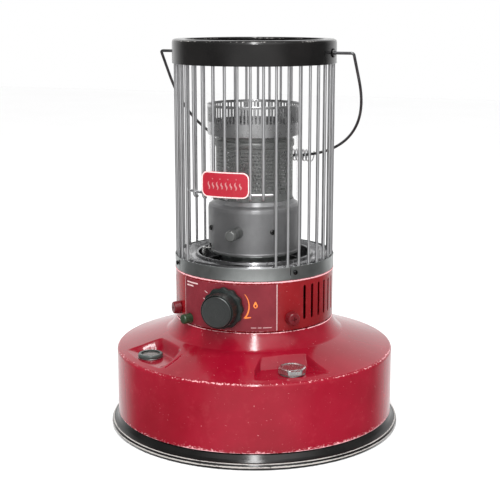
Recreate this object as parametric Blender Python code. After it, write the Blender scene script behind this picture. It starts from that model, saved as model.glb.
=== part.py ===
"""Round kerosene convection heater, built as an assembly of separate pieces.

Frame: origin on the heater's axis at the level it stands on, +Z up, the control knob on the -Y side and
+X to the right of somebody who looks at the knob. Azimuths run from the front (-Y) towards +X.
All dimensions below are in millimetres; the helpers turn them into metres.
"""

import math

import bmesh
import bpy
from mathutils import Matrix, Vector

MM = 0.001

# Facets round the axis: shells and guard rings (one facet per wire), inner tubes, small turned pieces.
SHELL_SIDES = 40
TUBE_SIDES = 24
SMALL_SIDES = 16
SCREW_SIDES = 10

# Gap kept between two pieces that touch.
GAP = 0.4

# Drip tray
TRAY_RIM_R = 204.9
TRAY_DECK_Z = 6.5

# Fuel tank
TANK_R = 195.0
TANK_BOTTOM_Z = 19.5
TANK_SHOULDER_Z = 107.0
DECK_OUTER = (190.5, 113.0)
DECK_INNER = (124.8, 134.4)
LIP = (110.4, 155.5)
LIP_INNER_R = 109.0
TANK_TOP_Z = 147.0
TANK_HOLE_R = 46.2
TANK_WALL = 1.2

# Deck recesses, mirrored about the front
RECESS_AZ = 38.0
RECESS_R = 165.0
RECESS_FLOOR_Z = 115.0
RECESS_HOLE_R = 14.2
RECESS_BACK_R = 142.0
RECESS_HALF_WIDTH = 34.5
RECESS_BACK_SLOPE = 0.5
RECESS_SIDE_SLOPE = 0.12
RECESS_FLARE = 0.33

# Control drum, front panel and what is on them
DRUM_R = 110.6
DRUM_BOTTOM_Z = 157.2
DRUM_TOP_Z = 225.3
PANEL_HALF_AZ = 36.9
PANEL_R = (111.0, 111.55)
KNOB_Z = 190.0
KNOB_BACK_R = 112.0
STUD_AZ = 47.0
STUD_Z = 174.0
BUTTON_AZ = -31.0
BUTTON_Z = 165.5
SLOT_FIRST_AZ = 56.0
SLOT_PITCH = 7.0
SLOT_COUNT = 6
SLOT_Z = (169.0, 216.6)
SLOT_WIDTH = 4.0

# Wick raiser
PINION_TEETH = 10
MODULE = 1.0
PITCH_R = PINION_TEETH * MODULE / 2
RACK_BACK_X = -9.0
RACK_Y = (-56.0, -50.5)

# Igniter
IGNITER_AZ = -51.0
IGNITER_R = 76.0
IGNITER_Z = 152.0
STEM_TOP_Z = 205.7

# Guard
WIRE_R = 1.9
WIRE_CIRCLE_R = 108.0
WIRE_PITCH = 9.0
WIRE_TOP_Z = 514.0
WIRE_BOTTOM_Z = 229.0
OPENING_HALF_AZ = 36.0
CROSS_BAR_Z = 340.6
CROSS_BAR_R = 104.6
BAND_R = (110.3, 111.4)
BAND_Z = (225.8, 244.1)
BAND_SEAM_AZ = 48.3
BAND_SCREW_AZ = 52.0
RING_R = (105.4, 110.0)

# Burner
BURNER_R = 64.4
BURNER_Z = 250.0
BURNER_TOP_Z = 308.0
BURNER_KNOB_Z = 282.0
FLAME_TUBE_R = 53.2
GLASS_R = (60.2, 62.0)
GLASS_Z = (316.4, 409.6)
CROWN_Z = 410.0
CROWN_TOP_Z = 452.0
CROWN_SLOTS = 24

# Top ring and bail handle
TOP_RING_R = 112.0
TOP_RING_Z = (506.5, 538.8)
TOP_SLOTS = 20
PIVOT_Z = 521.0
BAIL_HALF_WIDTH = 140.0
BAIL_DROP = 196.0
BAIL_STRAIGHT = 40.0
BAIL_TILT = 37.9
BAIL_WIRE_R = 2.0
BAIL_EXPONENT = 2.4
GRIP_HALF_LENGTH = 47.0
GRIP_R = (7.3, 9.3)

# Fuel gauge
GAUGE_FULL_R = 90.0
FLOAT_PIVOT_Z = 94.0
FLOAT_DROP = 38.0
FLOAT_HEADING = (-0.34, 0.9404)


# ---------------------------------------------------------------- helpers


def clear_scene():
    for obj in list(bpy.data.objects):
        bpy.data.objects.remove(obj, do_unlink=True)


def material(name, colour, roughness, metallic=0.0, alpha=1.0):
    mat = bpy.data.materials.new(name)
    mat.use_nodes = True
    shader = mat.node_tree.nodes["Principled BSDF"]
    shader.inputs["Base Color"].default_value = (*colour, 1.0)
    shader.inputs["Roughness"].default_value = roughness
    shader.inputs["Metallic"].default_value = metallic
    shader.inputs["Alpha"].default_value = alpha
    return mat


def finish(bm, name, mat, location=(0, 0, 0), rotation=(0, 0, 0)):
    """Turn a bmesh in millimetres into an object in metres; rotation is in degrees."""
    bmesh.ops.recalc_face_normals(bm, faces=bm.faces)
    bm.transform(Matrix.Scale(MM, 4))
    mesh = bpy.data.meshes.new(name)
    bm.to_mesh(mesh)
    bm.free()
    mesh.shade_smooth()
    mesh.set_sharp_from_angle(angle=math.radians(35))
    if mat:
        mesh.materials.append(mat)
    obj = bpy.data.objects.new(name, mesh)
    bpy.context.scene.collection.objects.link(obj)
    obj.location = Vector(location) * MM
    obj.rotation_euler = [math.radians(angle) for angle in rotation]
    return obj


def around(radius, azimuth, height):
    """Point at an azimuth that runs from the front (-Y) towards +X."""
    angle = math.radians(azimuth)
    return (radius * math.sin(angle), -radius * math.cos(angle), height)


def outward(azimuth):
    """Rotation that turns a piece's local Z to point away from the heater's axis."""
    return (90, 0, azimuth)


def bulge(start, end, sagitta, steps):
    """Arc from start to end; a positive sagitta bows it to the left of that direction."""
    a = Vector(start)
    b = Vector(end)
    chord = b - a
    half = chord.length / 2
    left = Vector((-chord.y, chord.x)).normalized()
    radius = (half * half + sagitta * sagitta) / (2 * sagitta)
    centre = (a + b) / 2 + left * (sagitta - radius)
    sweep = 4 * math.atan(sagitta / half)
    points = []
    for i in range(steps + 1):
        turn = Matrix.Rotation(-sweep * i / steps, 2)
        point = centre + turn @ (a - centre)
        points.append((point.x, point.y))
    return points


def sheet(line, thickness):
    """Closed outline of a pressed sheet: the line and its copy, offset to the line's left."""
    copy = []
    last = len(line) - 1
    for i, point in enumerate(line):
        here = Vector(point)
        before = here - Vector(line[i - 1]) if i > 0 else Vector(line[1]) - here
        after = Vector(line[i + 1]) - here if i < last else before
        normal_a = Vector((-before.y, before.x)).normalized()
        normal_b = Vector((-after.y, after.x)).normalized()
        mitre = (normal_a + normal_b) / (1 + normal_a.dot(normal_b))
        copy.append(tuple(here + mitre * thickness))
    return list(line) + copy[::-1]


def skin(bm, lower, upper):
    """Faces between two rings of a turned piece; a ring of one vertex is a pole."""
    count = max(len(lower), len(upper))
    if count == 1:
        return
    for i in range(count):
        j = (i + 1) % count
        corners = []
        for vert in (lower[i % len(lower)], lower[j % len(lower)], upper[j % len(upper)], upper[i % len(upper)]):
            if vert not in corners:
                corners.append(vert)
        bm.faces.new(corners)


def turned(outline, sides, shape=None):
    """Turn a closed outline of (radius, height) about Z. shape(index, angle) scales one ring's radius."""
    bm = bmesh.new()
    rings = []
    for index, (radius, height) in enumerate(outline):
        if radius < 1e-6:
            rings.append([bm.verts.new((0, 0, height))])
            continue
        ring = []
        for i in range(sides):
            angle = 2 * math.pi * i / sides
            factor = shape(index, angle) if shape else 1.0
            ring.append(bm.verts.new((radius * factor * math.cos(angle), radius * factor * math.sin(angle), height)))
        rings.append(ring)
    for i in range(len(rings)):
        skin(bm, rings[i], rings[(i + 1) % len(rings)])
    return bm


def prism(outline, low, high, order="xyz"):
    """Extrude a closed outline. order names the axes of (outline a, outline b, extrusion)."""
    bm = bmesh.new()
    rings = []
    for depth in (low, high):
        ring = []
        for a, b in outline:
            place = dict(zip(order, (a, b, depth)))
            ring.append(bm.verts.new((place["x"], place["y"], place["z"])))
        rings.append(ring)
    bm.faces.new(rings[0])
    bm.faces.new(rings[1])
    skin(bm, rings[0], rings[1])
    return bm


def box(low, high):
    outline = [(low[0], low[1]), (high[0], low[1]), (high[0], high[1]), (low[0], high[1])]
    return prism(outline, low[2], high[2])


def disc(radius, sides):
    return [(radius * math.cos(2 * math.pi * i / sides), radius * math.sin(2 * math.pi * i / sides)) for i in range(sides)]


def curved_plate(radii, azimuths, heights, steps):
    """Plate bent round the heater's axis."""
    bm = bmesh.new()
    columns = []
    for i in range(steps + 1):
        azimuth = azimuths[0] + (azimuths[1] - azimuths[0]) * i / steps
        corners = ((radii[0], heights[0]), (radii[1], heights[0]), (radii[1], heights[1]), (radii[0], heights[1]))
        columns.append([bm.verts.new(around(radius, azimuth, height)) for radius, height in corners])
    for i in range(steps):
        skin(bm, columns[i], columns[i + 1])
    bm.faces.new(columns[0])
    bm.faces.new(columns[-1])
    return bm


def swept(path, radius, sides):
    """Round wire along a path of 3-D points, with flat ends."""
    points = [Vector(p) for p in path]
    bm = bmesh.new()
    rings = []
    tangent = (points[1] - points[0]).normalized()
    side = tangent.orthogonal().normalized()
    for i, point in enumerate(points):
        ahead = points[min(i + 1, len(points) - 1)] - points[max(i - 1, 0)]
        new_tangent = ahead.normalized()
        side = (tangent.rotation_difference(new_tangent) @ side).normalized()
        tangent = new_tangent
        other = tangent.cross(side)
        ring = []
        for k in range(sides):
            angle = 2 * math.pi * k / sides
            ring.append(bm.verts.new(point + (side * math.cos(angle) + other * math.sin(angle)) * radius))
        rings.append(ring)
    for i in range(len(rings) - 1):
        skin(bm, rings[i], rings[i + 1])
    bm.faces.new(rings[0])
    bm.faces.new(rings[-1])
    return bm


def merge(*meshes):
    """Put several bmeshes into one; they still need a Boolean union to become one body."""
    out = bmesh.new()
    for bm in meshes:
        mesh = bpy.data.meshes.new("merged")
        bm.to_mesh(mesh)
        bm.free()
        out.from_mesh(mesh)
        bpy.data.meshes.remove(mesh)
    return out


def tool(bm, name, location=(0, 0, 0), rotation=(0, 0, 0)):
    """A cutter or an added shape for a Boolean, which is not a piece itself."""
    obj = finish(bm, name, None, location, rotation)
    obj.hide_render = True
    obj.display_type = "WIRE"
    return obj


def combine(obj, other, operation):
    modifier = obj.modifiers.new(other.name, "BOOLEAN")
    modifier.operation = operation
    modifier.solver = "EXACT"
    modifier.object = other


def cut(obj, other):
    combine(obj, other, "DIFFERENCE")


def join(obj, other):
    combine(obj, other, "UNION")


# ---------------------------------------------------------------- materials


def make_materials():
    return {
        "red": material("red_enamel", (0.45, 0.012, 0.03), 0.25),
        "red_plastic": material("red_plastic", (0.35, 0.015, 0.025), 0.4),
        "maroon": material("maroon_panel", (0.22, 0.025, 0.035), 0.35),
        "black": material("black_enamel", (0.02, 0.018, 0.018), 0.25),
        "wire": material("bright_wire", (0.55, 0.55, 0.56), 0.3, 1.0),
        "galvanised": material("galvanised_steel", (0.5, 0.52, 0.52), 0.38, 1.0),
        "burner": material("burner_steel", (0.3, 0.3, 0.31), 0.42, 1.0),
        "pan": material("reflector_steel", (0.4, 0.4, 0.4), 0.3, 1.0),
        "knob": material("dark_green_plastic", (0.03, 0.045, 0.04), 0.45),
        "knob_face": material("brushed_dark_metal", (0.12, 0.13, 0.13), 0.35, 1.0),
        "green": material("green_plastic", (0.05, 0.12, 0.06), 0.4),
        "chrome": material("chrome", (0.7, 0.7, 0.7), 0.1, 1.0),
        "brass": material("brass", (0.55, 0.4, 0.15), 0.35, 1.0),
        "glass": material("glass", (0.9, 0.95, 0.93), 0.03, 0.0, 0.3),
        "rubber": material("rubber", (0.02, 0.02, 0.02), 0.8),
        "wick": material("wick_cotton", (0.75, 0.72, 0.65), 0.95),
        "float": material("float_plastic", (0.6, 0.55, 0.4), 0.6),
        "gauge": material("gauge_grey", (0.1, 0.13, 0.12), 0.35),
        "dial": material("gauge_white", (0.75, 0.75, 0.7), 0.5),
        "needle": material("needle_red", (0.6, 0.05, 0.03), 0.5),
        "bail": material("dark_wire", (0.06, 0.06, 0.07), 0.4, 1.0),
    }


# ---------------------------------------------------------------- base and tank


def drip_tray(mats):
    outline = [(0, TRAY_DECK_Z), (185, TRAY_DECK_Z), (189.5, 16.6), (191.5, 18.2), (193.5, 17.4)]
    outline += [(196.6, 11.4), (199.8, 8.6), (203.0, 8.2), (TRAY_RIM_R, 4.3), (203.0, 0), (199.0, 0)]
    outline += [(197.0, 7.4), (192.6, 14.6), (190.8, 15.4), (186.2, 5.0), (0, 5.0)]
    return finish(turned(outline, SHELL_SIDES), "drip_tray", mats["black"])


def recess_tool(name, azimuth, grow):
    """Flat-sided pocket with a sloped back and sides; grow moves its floor and walls outwards."""
    back_shift = grow * math.hypot(1, RECESS_BACK_SLOPE)
    side_shift = grow * math.sqrt(1 + RECESS_FLARE**2 + RECESS_SIDE_SLOPE**2)
    rings = []
    for height in (RECESS_FLOOR_Z - grow, 146.0):
        rise = height - RECESS_FLOOR_Z
        ring = []
        for end, side in ((0, -1), (0, 1), (1, 1), (1, -1)):
            reach = 215.0 if end else RECESS_BACK_R - RECESS_BACK_SLOPE * rise - back_shift
            half = RECESS_HALF_WIDTH + RECESS_FLARE * (reach - RECESS_BACK_R) + RECESS_SIDE_SLOPE * rise + side_shift
            ring.append((side * half, -reach, height))
        rings.append(ring)
    bm = bmesh.new()
    lower = [bm.verts.new(point) for point in rings[0]]
    upper = [bm.verts.new(point) for point in rings[1]]
    bm.faces.new(lower)
    bm.faces.new(upper)
    skin(bm, lower, upper)
    return tool(bm, name, (0, 0, 0), (0, 0, azimuth))


def tank_shell(mats):
    shoulder = bulge((TANK_R, TANK_SHOULDER_Z), DECK_OUTER, -1.7, 3)
    flare = bulge(DECK_INNER, LIP, 1.9, 4)
    outside = [(TANK_HOLE_R, TANK_BOTTOM_Z), (TANK_R, TANK_BOTTOM_Z)] + shoulder + flare
    outside += [(LIP_INNER_R, LIP[1]), (LIP_INNER_R, TANK_TOP_Z), (TANK_HOLE_R, TANK_TOP_Z)]
    obj = finish(turned(outside, SHELL_SIDES), "tank_shell", mats["red"])

    wall = sheet([(TANK_R, 5.0)] + shoulder + flare[:3], TANK_WALL)
    inside = wall[len(wall) // 2:][::-1]
    inside = [(40.0, 5.0)] + inside
    inside += [(inside[-1][0] - 1.8, TANK_TOP_Z - TANK_WALL), (40.0, TANK_TOP_Z - TANK_WALL)]
    cavity = tool(turned(inside, SHELL_SIDES), "cut_tank_cavity")

    for label, azimuth in (("left", -RECESS_AZ), ("right", RECESS_AZ)):
        cut(obj, recess_tool("cut_recess_" + label, azimuth, 0.0))
        cut(cavity, recess_tool("cut_under_recess_" + label, azimuth, TANK_WALL))
    cut(obj, cavity)
    for label, azimuth in (("left", -RECESS_AZ), ("right", RECESS_AZ)):
        hole = prism(disc(RECESS_HOLE_R, TUBE_SIDES), 105, 125)
        cut(obj, tool(hole, "cut_recess_hole_" + label, around(RECESS_R, azimuth, 0)))
    return obj


def tank_pan(mats):
    outline = [(39.7, 20.5), (193.2, 20.5), (193.2, 27), (192.0, 27), (192.0, 21.7), (39.7, 21.7)]
    obj = finish(turned(outline, SHELL_SIDES), "tank_pan", mats["black"])
    feet = []
    for azimuth in (60, 180, 300):
        foot = prism(disc(9.0, 12), TRAY_DECK_Z + GAP, 21.2)
        bmesh.ops.translate(foot, verts=foot.verts, vec=around(150, azimuth, 0))
        feet.append(foot)
    join(obj, tool(merge(*feet), "add_pan_feet"))
    return obj


def filler(mats):
    place = around(RECESS_R, RECESS_AZ, 0)
    neck = [(12.2, 104), (13.7, 104), (13.7, 115.4), (17.2, 115.4), (17.2, 116.3), (13.7, 116.3), (13.7, 119.4), (12.2, 119.4)]
    finish(turned(neck, SMALL_SIDES), "filler_neck", mats["galvanised"], place)

    def hexagon(index, angle):
        if index not in (3, 4, 5):
            return 1.0
        across = (angle + 1e-9) % math.radians(60) - math.radians(30)
        return math.cos(math.radians(30)) / math.cos(across)

    base_z = 4.7
    cap = [(0, base_z), (14.2, base_z), (14.2, 0), (19.0, 0), (19.0, 5.8), (18.6, 7.0), (15.2, 8.1), (13.4, 6.9), (0, 6.5)]
    finish(turned(cap, 24, hexagon), "filler_cap", mats["chrome"], around(RECESS_R, RECESS_AZ, 116.8), (0, 0, 34))
    gasket = [(12.4, 119.8), (13.9, 119.8), (13.9, 121.1), (12.4, 121.1)]
    finish(turned(gasket, SMALL_SIDES), "cap_gasket", mats["rubber"], place)


def fuel_gauge(mats):
    place = around(RECESS_R, -RECESS_AZ, 0)
    cup = [(0, 101), (13.7, 101), (13.7, 115.4), (17.0, 115.4), (17.0, 116.4), (12.7, 116.4), (12.7, 102.2), (0, 102.2)]
    housing = finish(turned(cup, SMALL_SIDES), "gauge_housing", mats["galvanised"], place)
    heading = math.degrees(math.atan2(FLOAT_HEADING[1], FLOAT_HEADING[0]))
    tongue = prism([(-5, 88), (5, 88), (5, 101.6), (-5, 101.6)], -1.5, 1.5, "xzy")
    join(housing, tool(tongue, "add_gauge_tongue", place, (0, 0, heading)))
    pivot_hole = prism(disc(1.8, 12), -5, 5, "xzy")
    pivot_place = around(RECESS_R, -RECESS_AZ, FLOAT_PIVOT_Z)
    cut(housing, tool(pivot_hole, "cut_gauge_pivot", pivot_place, (0, 0, heading)))

    dial = [(1.5, 112), (12.2, 112), (12.2, 112.8), (1.5, 112.8)]
    finish(turned(dial, SMALL_SIDES), "gauge_dial", mats["dial"], place)
    lens = [(0, 117.2), (13.0, 117.2), (13.0, 119.0), (0, 119.4)]
    finish(turned(lens, SMALL_SIDES), "gauge_lens", mats["glass"], place)
    bezel = [(13.4, 116.8), (16.7, 116.8), (16.7, 119.8), (15.7, 121.2), (12.5, 121.2), (12.5, 120.2), (13.4, 119.6)]
    finish(turned(bezel, SMALL_SIDES), "gauge_bezel", mats["gauge"], place)

    needle = finish(prism([(-2.5, -0.9), (10.5, -0.3), (10.5, 0.3), (-2.5, 0.9)], 113.4, 114.2), "gauge_needle", mats["needle"], place, (0, 0, 150))
    join(needle, tool(prism(disc(1.0, 8), 104.0, 113.8), "add_needle_spindle", place))

    slope = FLOAT_DROP
    rod_axis = Vector((math.cos(math.radians(slope)), 0, -math.sin(math.radians(slope))))
    beside = Vector((0, 3.4, 0))
    rod = swept([beside + rod_axis * 1.0, beside + rod_axis * 74.0], 1.3, 8)
    arm = finish(rod, "float_arm", mats["brass"], pivot_place, (0, 0, heading))
    hub = merge(prism(disc(3.4, 12), 1.9, 4.9, "xzy"))
    join(arm, tool(hub, "add_float_hub", pivot_place, (0, 0, heading)))
    join(arm, tool(prism(disc(1.4, 10), -3.5, 2.5, "xzy"), "add_float_pin", pivot_place, (0, 0, heading)))
    tip = swept([beside + rod_axis * 73.0, beside + rod_axis * 106.0], 1.1, 8)
    join(arm, tool(tip, "add_float_tip", pivot_place, (0, 0, heading)))

    outline = [(1.6, -14), (9.0, -14), (14.0, -7), (14.0, 7), (9.0, 14), (1.6, 14)]
    body = turned(outline, SMALL_SIDES)
    bmesh.ops.rotate(body, verts=body.verts, matrix=Matrix.Rotation(math.radians(90 + slope), 3, "Y"))
    bmesh.ops.translate(body, verts=body.verts, vec=beside + rod_axis * GAUGE_FULL_R)
    finish(body, "tank_float", mats["float"], pivot_place, (0, 0, heading))


# ---------------------------------------------------------------- control drum


def control_drum(mats):
    outline = [(107.8, TANK_TOP_Z + GAP), (107.8, 156.6), (DRUM_R, DRUM_BOTTOM_Z), (DRUM_R, 223.4), (111.5, 224.3)]
    outline += [(111.0, DRUM_TOP_Z), (103.0, DRUM_TOP_Z), (103.0, 224.3), (109.6, 224.3), (109.6, 158.2)]
    outline += [(106.8, 157.5), (106.8, TANK_TOP_Z + GAP)]
    obj = finish(turned(outline, SHELL_SIDES), "control_drum", mats["red"])
    slots = []
    for side in (-1, 1):
        for i in range(SLOT_COUNT):
            slot = box((-SLOT_WIDTH / 2, -118, SLOT_Z[0]), (SLOT_WIDTH / 2, -104, SLOT_Z[1]))
            azimuth = side * (SLOT_FIRST_AZ + SLOT_PITCH * i)
            bmesh.ops.rotate(slot, verts=slot.verts, matrix=Matrix.Rotation(math.radians(azimuth), 3, "Z"))
            slots.append(slot)
    cut(obj, tool(merge(*slots), "cut_louvre_slots"))
    holes = drum_holes("drum")
    for hole in holes:
        cut(obj, hole)
    for label, azimuth in (("left", -STUD_AZ), ("right", STUD_AZ)):
        bore = prism(disc(2.6, 12), -10, 10)
        cut(obj, tool(bore, "cut_stud_" + label, around(DRUM_R, azimuth, STUD_Z), outward(azimuth)))
    return obj


def drum_holes(label):
    shaft = tool(prism(disc(6.4, SMALL_SIDES), -8, 8), "cut_shaft_" + label, around(DRUM_R, 0, KNOB_Z), outward(0))
    place = around(DRUM_R, BUTTON_AZ, BUTTON_Z)
    button = tool(prism(disc(7.3, SMALL_SIDES), -8, 8), "cut_button_" + label, place, outward(BUTTON_AZ))
    return shaft, button


def front_panel(mats):
    plate = curved_plate(PANEL_R, (-PANEL_HALF_AZ, PANEL_HALF_AZ), (158.4, 222.0), 12)
    obj = finish(plate, "front_panel", mats["maroon"])
    for hole in drum_holes("panel"):
        cut(obj, hole)


def drum_studs(mats):
    outline = [(0, 0), (9.0, 0), (8.5, 8.8), (7.4, 10.4), (0, 10.4)]
    for label, azimuth in (("left", -STUD_AZ), ("right", STUD_AZ)):
        place = around(DRUM_R + GAP, azimuth, STUD_Z)
        obj = finish(turned(outline, SMALL_SIDES), "drum_stud_" + label, mats["red_plastic"], place, outward(azimuth))
        shank = prism(disc(2.1, 10), -6, 1)
        join(obj, tool(shank, "add_stud_shank_" + label, place, outward(azimuth)))
        cross = box((-3.4, -0.7, 9.0), (3.4, 0.7, 12))
        cut(obj, tool(cross, "cut_stud_bar_" + label, place, outward(azimuth)))
        other = box((-0.7, -3.4, 9.0), (0.7, 3.4, 12))
        cut(obj, tool(other, "cut_stud_cross_" + label, place, outward(azimuth)))


# ---------------------------------------------------------------- wick raiser


def control_knob(mats):
    place = around(KNOB_BACK_R, 0, KNOB_Z)
    outline = [(0, 20), (4.3, 20), (4.3, 0), (26.2, 0), (26.4, 7.4), (22.3, 8.6), (21.6, 26.4)]
    outline += [(20.8, 27.4), (20.1, 26.0), (0, 26.0)]

    def scallops(index, angle):
        return 1.0 + 0.035 * math.cos(12 * angle) if index in (3, 4) else 1.0

    finish(turned(outline, 36, scallops), "control_knob", mats["knob"], place, outward(0))
    face = [(0, 26.4), (19.7, 26.4), (19.7, 27.9), (19.2, 28.3), (0, 28.3)]
    finish(turned(face, SMALL_SIDES), "knob_face", mats["knob_face"], place, outward(0))
    shaft = [(0, 19.4), (3.9, 19.4), (3.9, 1.0), (3.0, 0), (3.0, -54), (1.6, -54), (1.6, -63.4), (0, -63.4)]
    finish(turned(shaft, 12), "knob_shaft", mats["galvanised"], place, outward(0))

    tooth_step = 360 / PINION_TEETH
    outline = []
    for i in range(PINION_TEETH):
        middle = 180 + i * tooth_step
        for radius, offset in ((3.7, -10.5), (5.8, -4.2), (5.8, 4.2), (3.7, 10.5)):
            angle = math.radians(middle + offset)
            outline.append((radius * math.cos(angle), radius * math.sin(angle)))
    pinion = finish(prism(outline, -62.0, -55.5), "drive_pinion", mats["brass"], place, outward(0))
    cut(pinion, tool(prism(disc(1.95, 12), -64, -54), "cut_pinion_bore", place, outward(0)))

    bush = [(3.4, -3.4), (8.6, -3.4), (8.6, -2.0), (6.0, -2.0), (6.0, 0.9), (3.4, 0.9)]
    finish(turned(bush, SMALL_SIDES), "shaft_bearing", mats["brass"], around(DRUM_R, 0, KNOB_Z), outward(0))
    bracket_outline = [(-63.0, 198), (-63.0, 148.6), (-75, 148.6), (-75, 147.4), (-61.8, 147.4), (-61.8, 198)]
    bracket = finish(prism(bracket_outline, -9, 9, "yzx"), "shaft_bracket", mats["galvanised"])
    bracket_hole = prism(disc(3.4, 12), -6, 6)
    cut(bracket, tool(bracket_hole, "cut_bracket_hole", around(62.4, 0, KNOB_Z), outward(0)))


def wick_parts(mats):
    rack_pitch = math.pi * MODULE
    root_x = -PITCH_R - 1.3
    tip_x = -PITCH_R + 0.85
    outline = [(RACK_BACK_X, -22.4), (root_x, -22.4)]
    for k in range(-7, 2):
        middle = (k + 0.5) * rack_pitch
        outline += [(root_x, middle - 0.95), (tip_x, middle - 0.38), (tip_x, middle + 0.38), (root_x, middle + 0.95)]
    outline += [(root_x, 7.2), (RACK_BACK_X, 7.2)]
    rack = finish(prism(outline, RACK_Y[0], RACK_Y[1], "xzy"), "wick_rack", mats["brass"], (0, 0, KNOB_Z))
    arm = box((RACK_BACK_X, -51.5, -22.0), (root_x - 0.2, -44.2, -16.0))
    join(rack, tool(arm, "add_rack_arm", (0, 0, KNOB_Z)))

    sleeve = [(43.1, 152), (44.1, 152), (44.1, 224), (43.1, 224)]
    finish(turned(sleeve, TUBE_SIDES), "wick_sleeve", mats["galvanised"])
    wick = [(39.7, 62), (42.7, 62), (42.7, 247), (39.7, 247)]
    finish(turned(wick, TUBE_SIDES), "wick", mats["wick"])
    draft = [(38.0, 12), (39.2, 12), (39.2, 249.0), (38.0, 249.0)]
    finish(turned(draft, TUBE_SIDES), "draft_tube", mats["galvanised"])

    tube = [(44.6, 100), (45.7, 100), (45.7, 248.2), (65.2, 248.4), (65.2, 249.6), (44.6, 249.6)]
    obj = finish(turned(tube, TUBE_SIDES), "wick_tube", mats["galvanised"])
    cut(obj, tool(box((-10.2, -49, 166.4), (-5.3, -41, 190.5)), "cut_rack_slot"))


# ---------------------------------------------------------------- igniter


def ignition_button(mats):
    place = around(DRUM_R + GAP, BUTTON_AZ, BUTTON_Z)
    outline = [(0, -9.0), (8.6, -9.0), (8.6, -7.6), (6.8, -7.4), (6.8, 12.0), (5.9, 13.3), (0, 13.7)]
    finish(turned(outline, SMALL_SIDES), "ignition_button", mats["green"], place, outward(BUTTON_AZ))
    back_r = DRUM_R + GAP - 9.0 - GAP
    path = [around(back_r, BUTTON_AZ, BUTTON_Z), around(87.0, BUTTON_AZ, BUTTON_Z), around(85.6, BUTTON_AZ, 167.0)]
    path += [around(85.6, BUTTON_AZ, STEM_TOP_Z - 2), around(85.0, BUTTON_AZ - 1, STEM_TOP_Z)]
    path.append(around(78.2, IGNITER_AZ + 1, STEM_TOP_Z))
    finish(swept(path, 1.4, 8), "button_stem", mats["galvanised"])

    turns = 5
    steps_per_turn = 6
    length = 10.6
    coil = []
    for i in range(turns * steps_per_turn + 1):
        angle = 2 * math.pi * i / steps_per_turn
        coil.append((4.2 * math.cos(angle), 4.2 * math.sin(angle), -9.9 - length * i / (turns * steps_per_turn)))
    finish(swept(coil, 0.4, 4), "button_spring", mats["wire"], place, outward(BUTTON_AZ))

    plate = prism([(-89.2, 147.4), (-88.0, 147.4), (-88.0, 172), (-89.2, 172)], -6, 6, "yzx")
    bracket = finish(plate, "button_bracket", mats["galvanised"], (0, 0, 0), (0, 0, BUTTON_AZ))
    foot = box((-6, -97, 147.4), (6, -88.6, 148.4))
    join(bracket, tool(foot, "add_bracket_foot", (0, 0, 0), (0, 0, BUTTON_AZ)))
    hole = prism(disc(2.0, 12), -6, 6)
    cut(bracket, tool(hole, "cut_bracket_stem", around(88.6, BUTTON_AZ, BUTTON_Z), outward(BUTTON_AZ)))


def igniter(mats):
    place = around(IGNITER_R, IGNITER_AZ, IGNITER_Z)
    turn = (0, 0, IGNITER_AZ)
    base = box((-7.0, -5, -4.6), (7.0, 5, -3.5))
    bracket = finish(base, "igniter_bracket", mats["galvanised"], place, turn)
    for label, side in (("left", -1), ("right", 1)):
        ear = box((side * 5.3 - 0.7, -4, -4.2), (side * 5.3 + 0.7, 4, 4))
        join(bracket, tool(ear, "add_igniter_ear_" + label, place, turn))
    join(bracket, tool(prism(disc(1.0, 8), -5.4, 5.4, "yzx"), "add_igniter_pin", place, turn))

    outline = []
    for i in range(11):
        angle = math.radians(105 + 33 * i)
        outline.append((2.9 * math.cos(angle), 2.9 * math.sin(angle)))
    outline += [(0.75, 48), (3.15, 91.6), (1.65, 91.6), (-0.75, 48)]
    arm = finish(prism(outline, -4, 4, "yzx"), "igniter_arm", mats["galvanised"], place, turn)
    cut(arm, tool(prism(disc(1.35, 10), -5, 5, "yzx"), "cut_igniter_hub", place, turn))

    holder = box((-4, 0.5, 92.0), (4, 4.2, 103.6))
    tip = finish(holder, "igniter_tip", mats["chrome"], place, turn)
    finger = turned([(0, 3.0), (1.0, 3.0), (1.0, 19.0), (1.9, 19.4), (1.9, 25.0), (0, 25.4)], 10)
    bmesh.ops.rotate(finger, verts=finger.verts, matrix=Matrix.Rotation(math.radians(-90), 3, "X"))
    bmesh.ops.translate(finger, verts=finger.verts, vec=(0, 0, 101.8))
    join(tip, tool(finger, "add_igniter_finger", place, turn))


# ---------------------------------------------------------------- guard


def guard_band(mats):
    front = curved_plate(BAND_R, (-BAND_SEAM_AZ, BAND_SEAM_AZ), BAND_Z, 12)
    finish(front, "guard_band_front", mats["galvanised"])
    rear = curved_plate(BAND_R, (BAND_SEAM_AZ + 0.6, 360 - BAND_SEAM_AZ - 0.6), BAND_Z, 33)
    band = finish(rear, "guard_band_rear", mats["galvanised"])
    height = (BAND_Z[0] + BAND_Z[1]) / 2 + 1
    outline = [(0, -5.6), (1.4, -5.6), (1.4, GAP), (3.9, GAP), (3.6, 1.9), (2.2, 2.5), (0, 2.5)]
    for label, azimuth in (("left", -BAND_SCREW_AZ), ("right", BAND_SCREW_AZ)):
        place = around(BAND_R[1], azimuth, height)
        finish(turned(outline, SCREW_SIDES), "band_screw_" + label, mats["wire"], place, outward(azimuth))
        hole = prism(disc(1.9, 12), -4, 4)
        cut(band, tool(hole, "cut_band_screw_" + label, place, outward(azimuth)))


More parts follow.
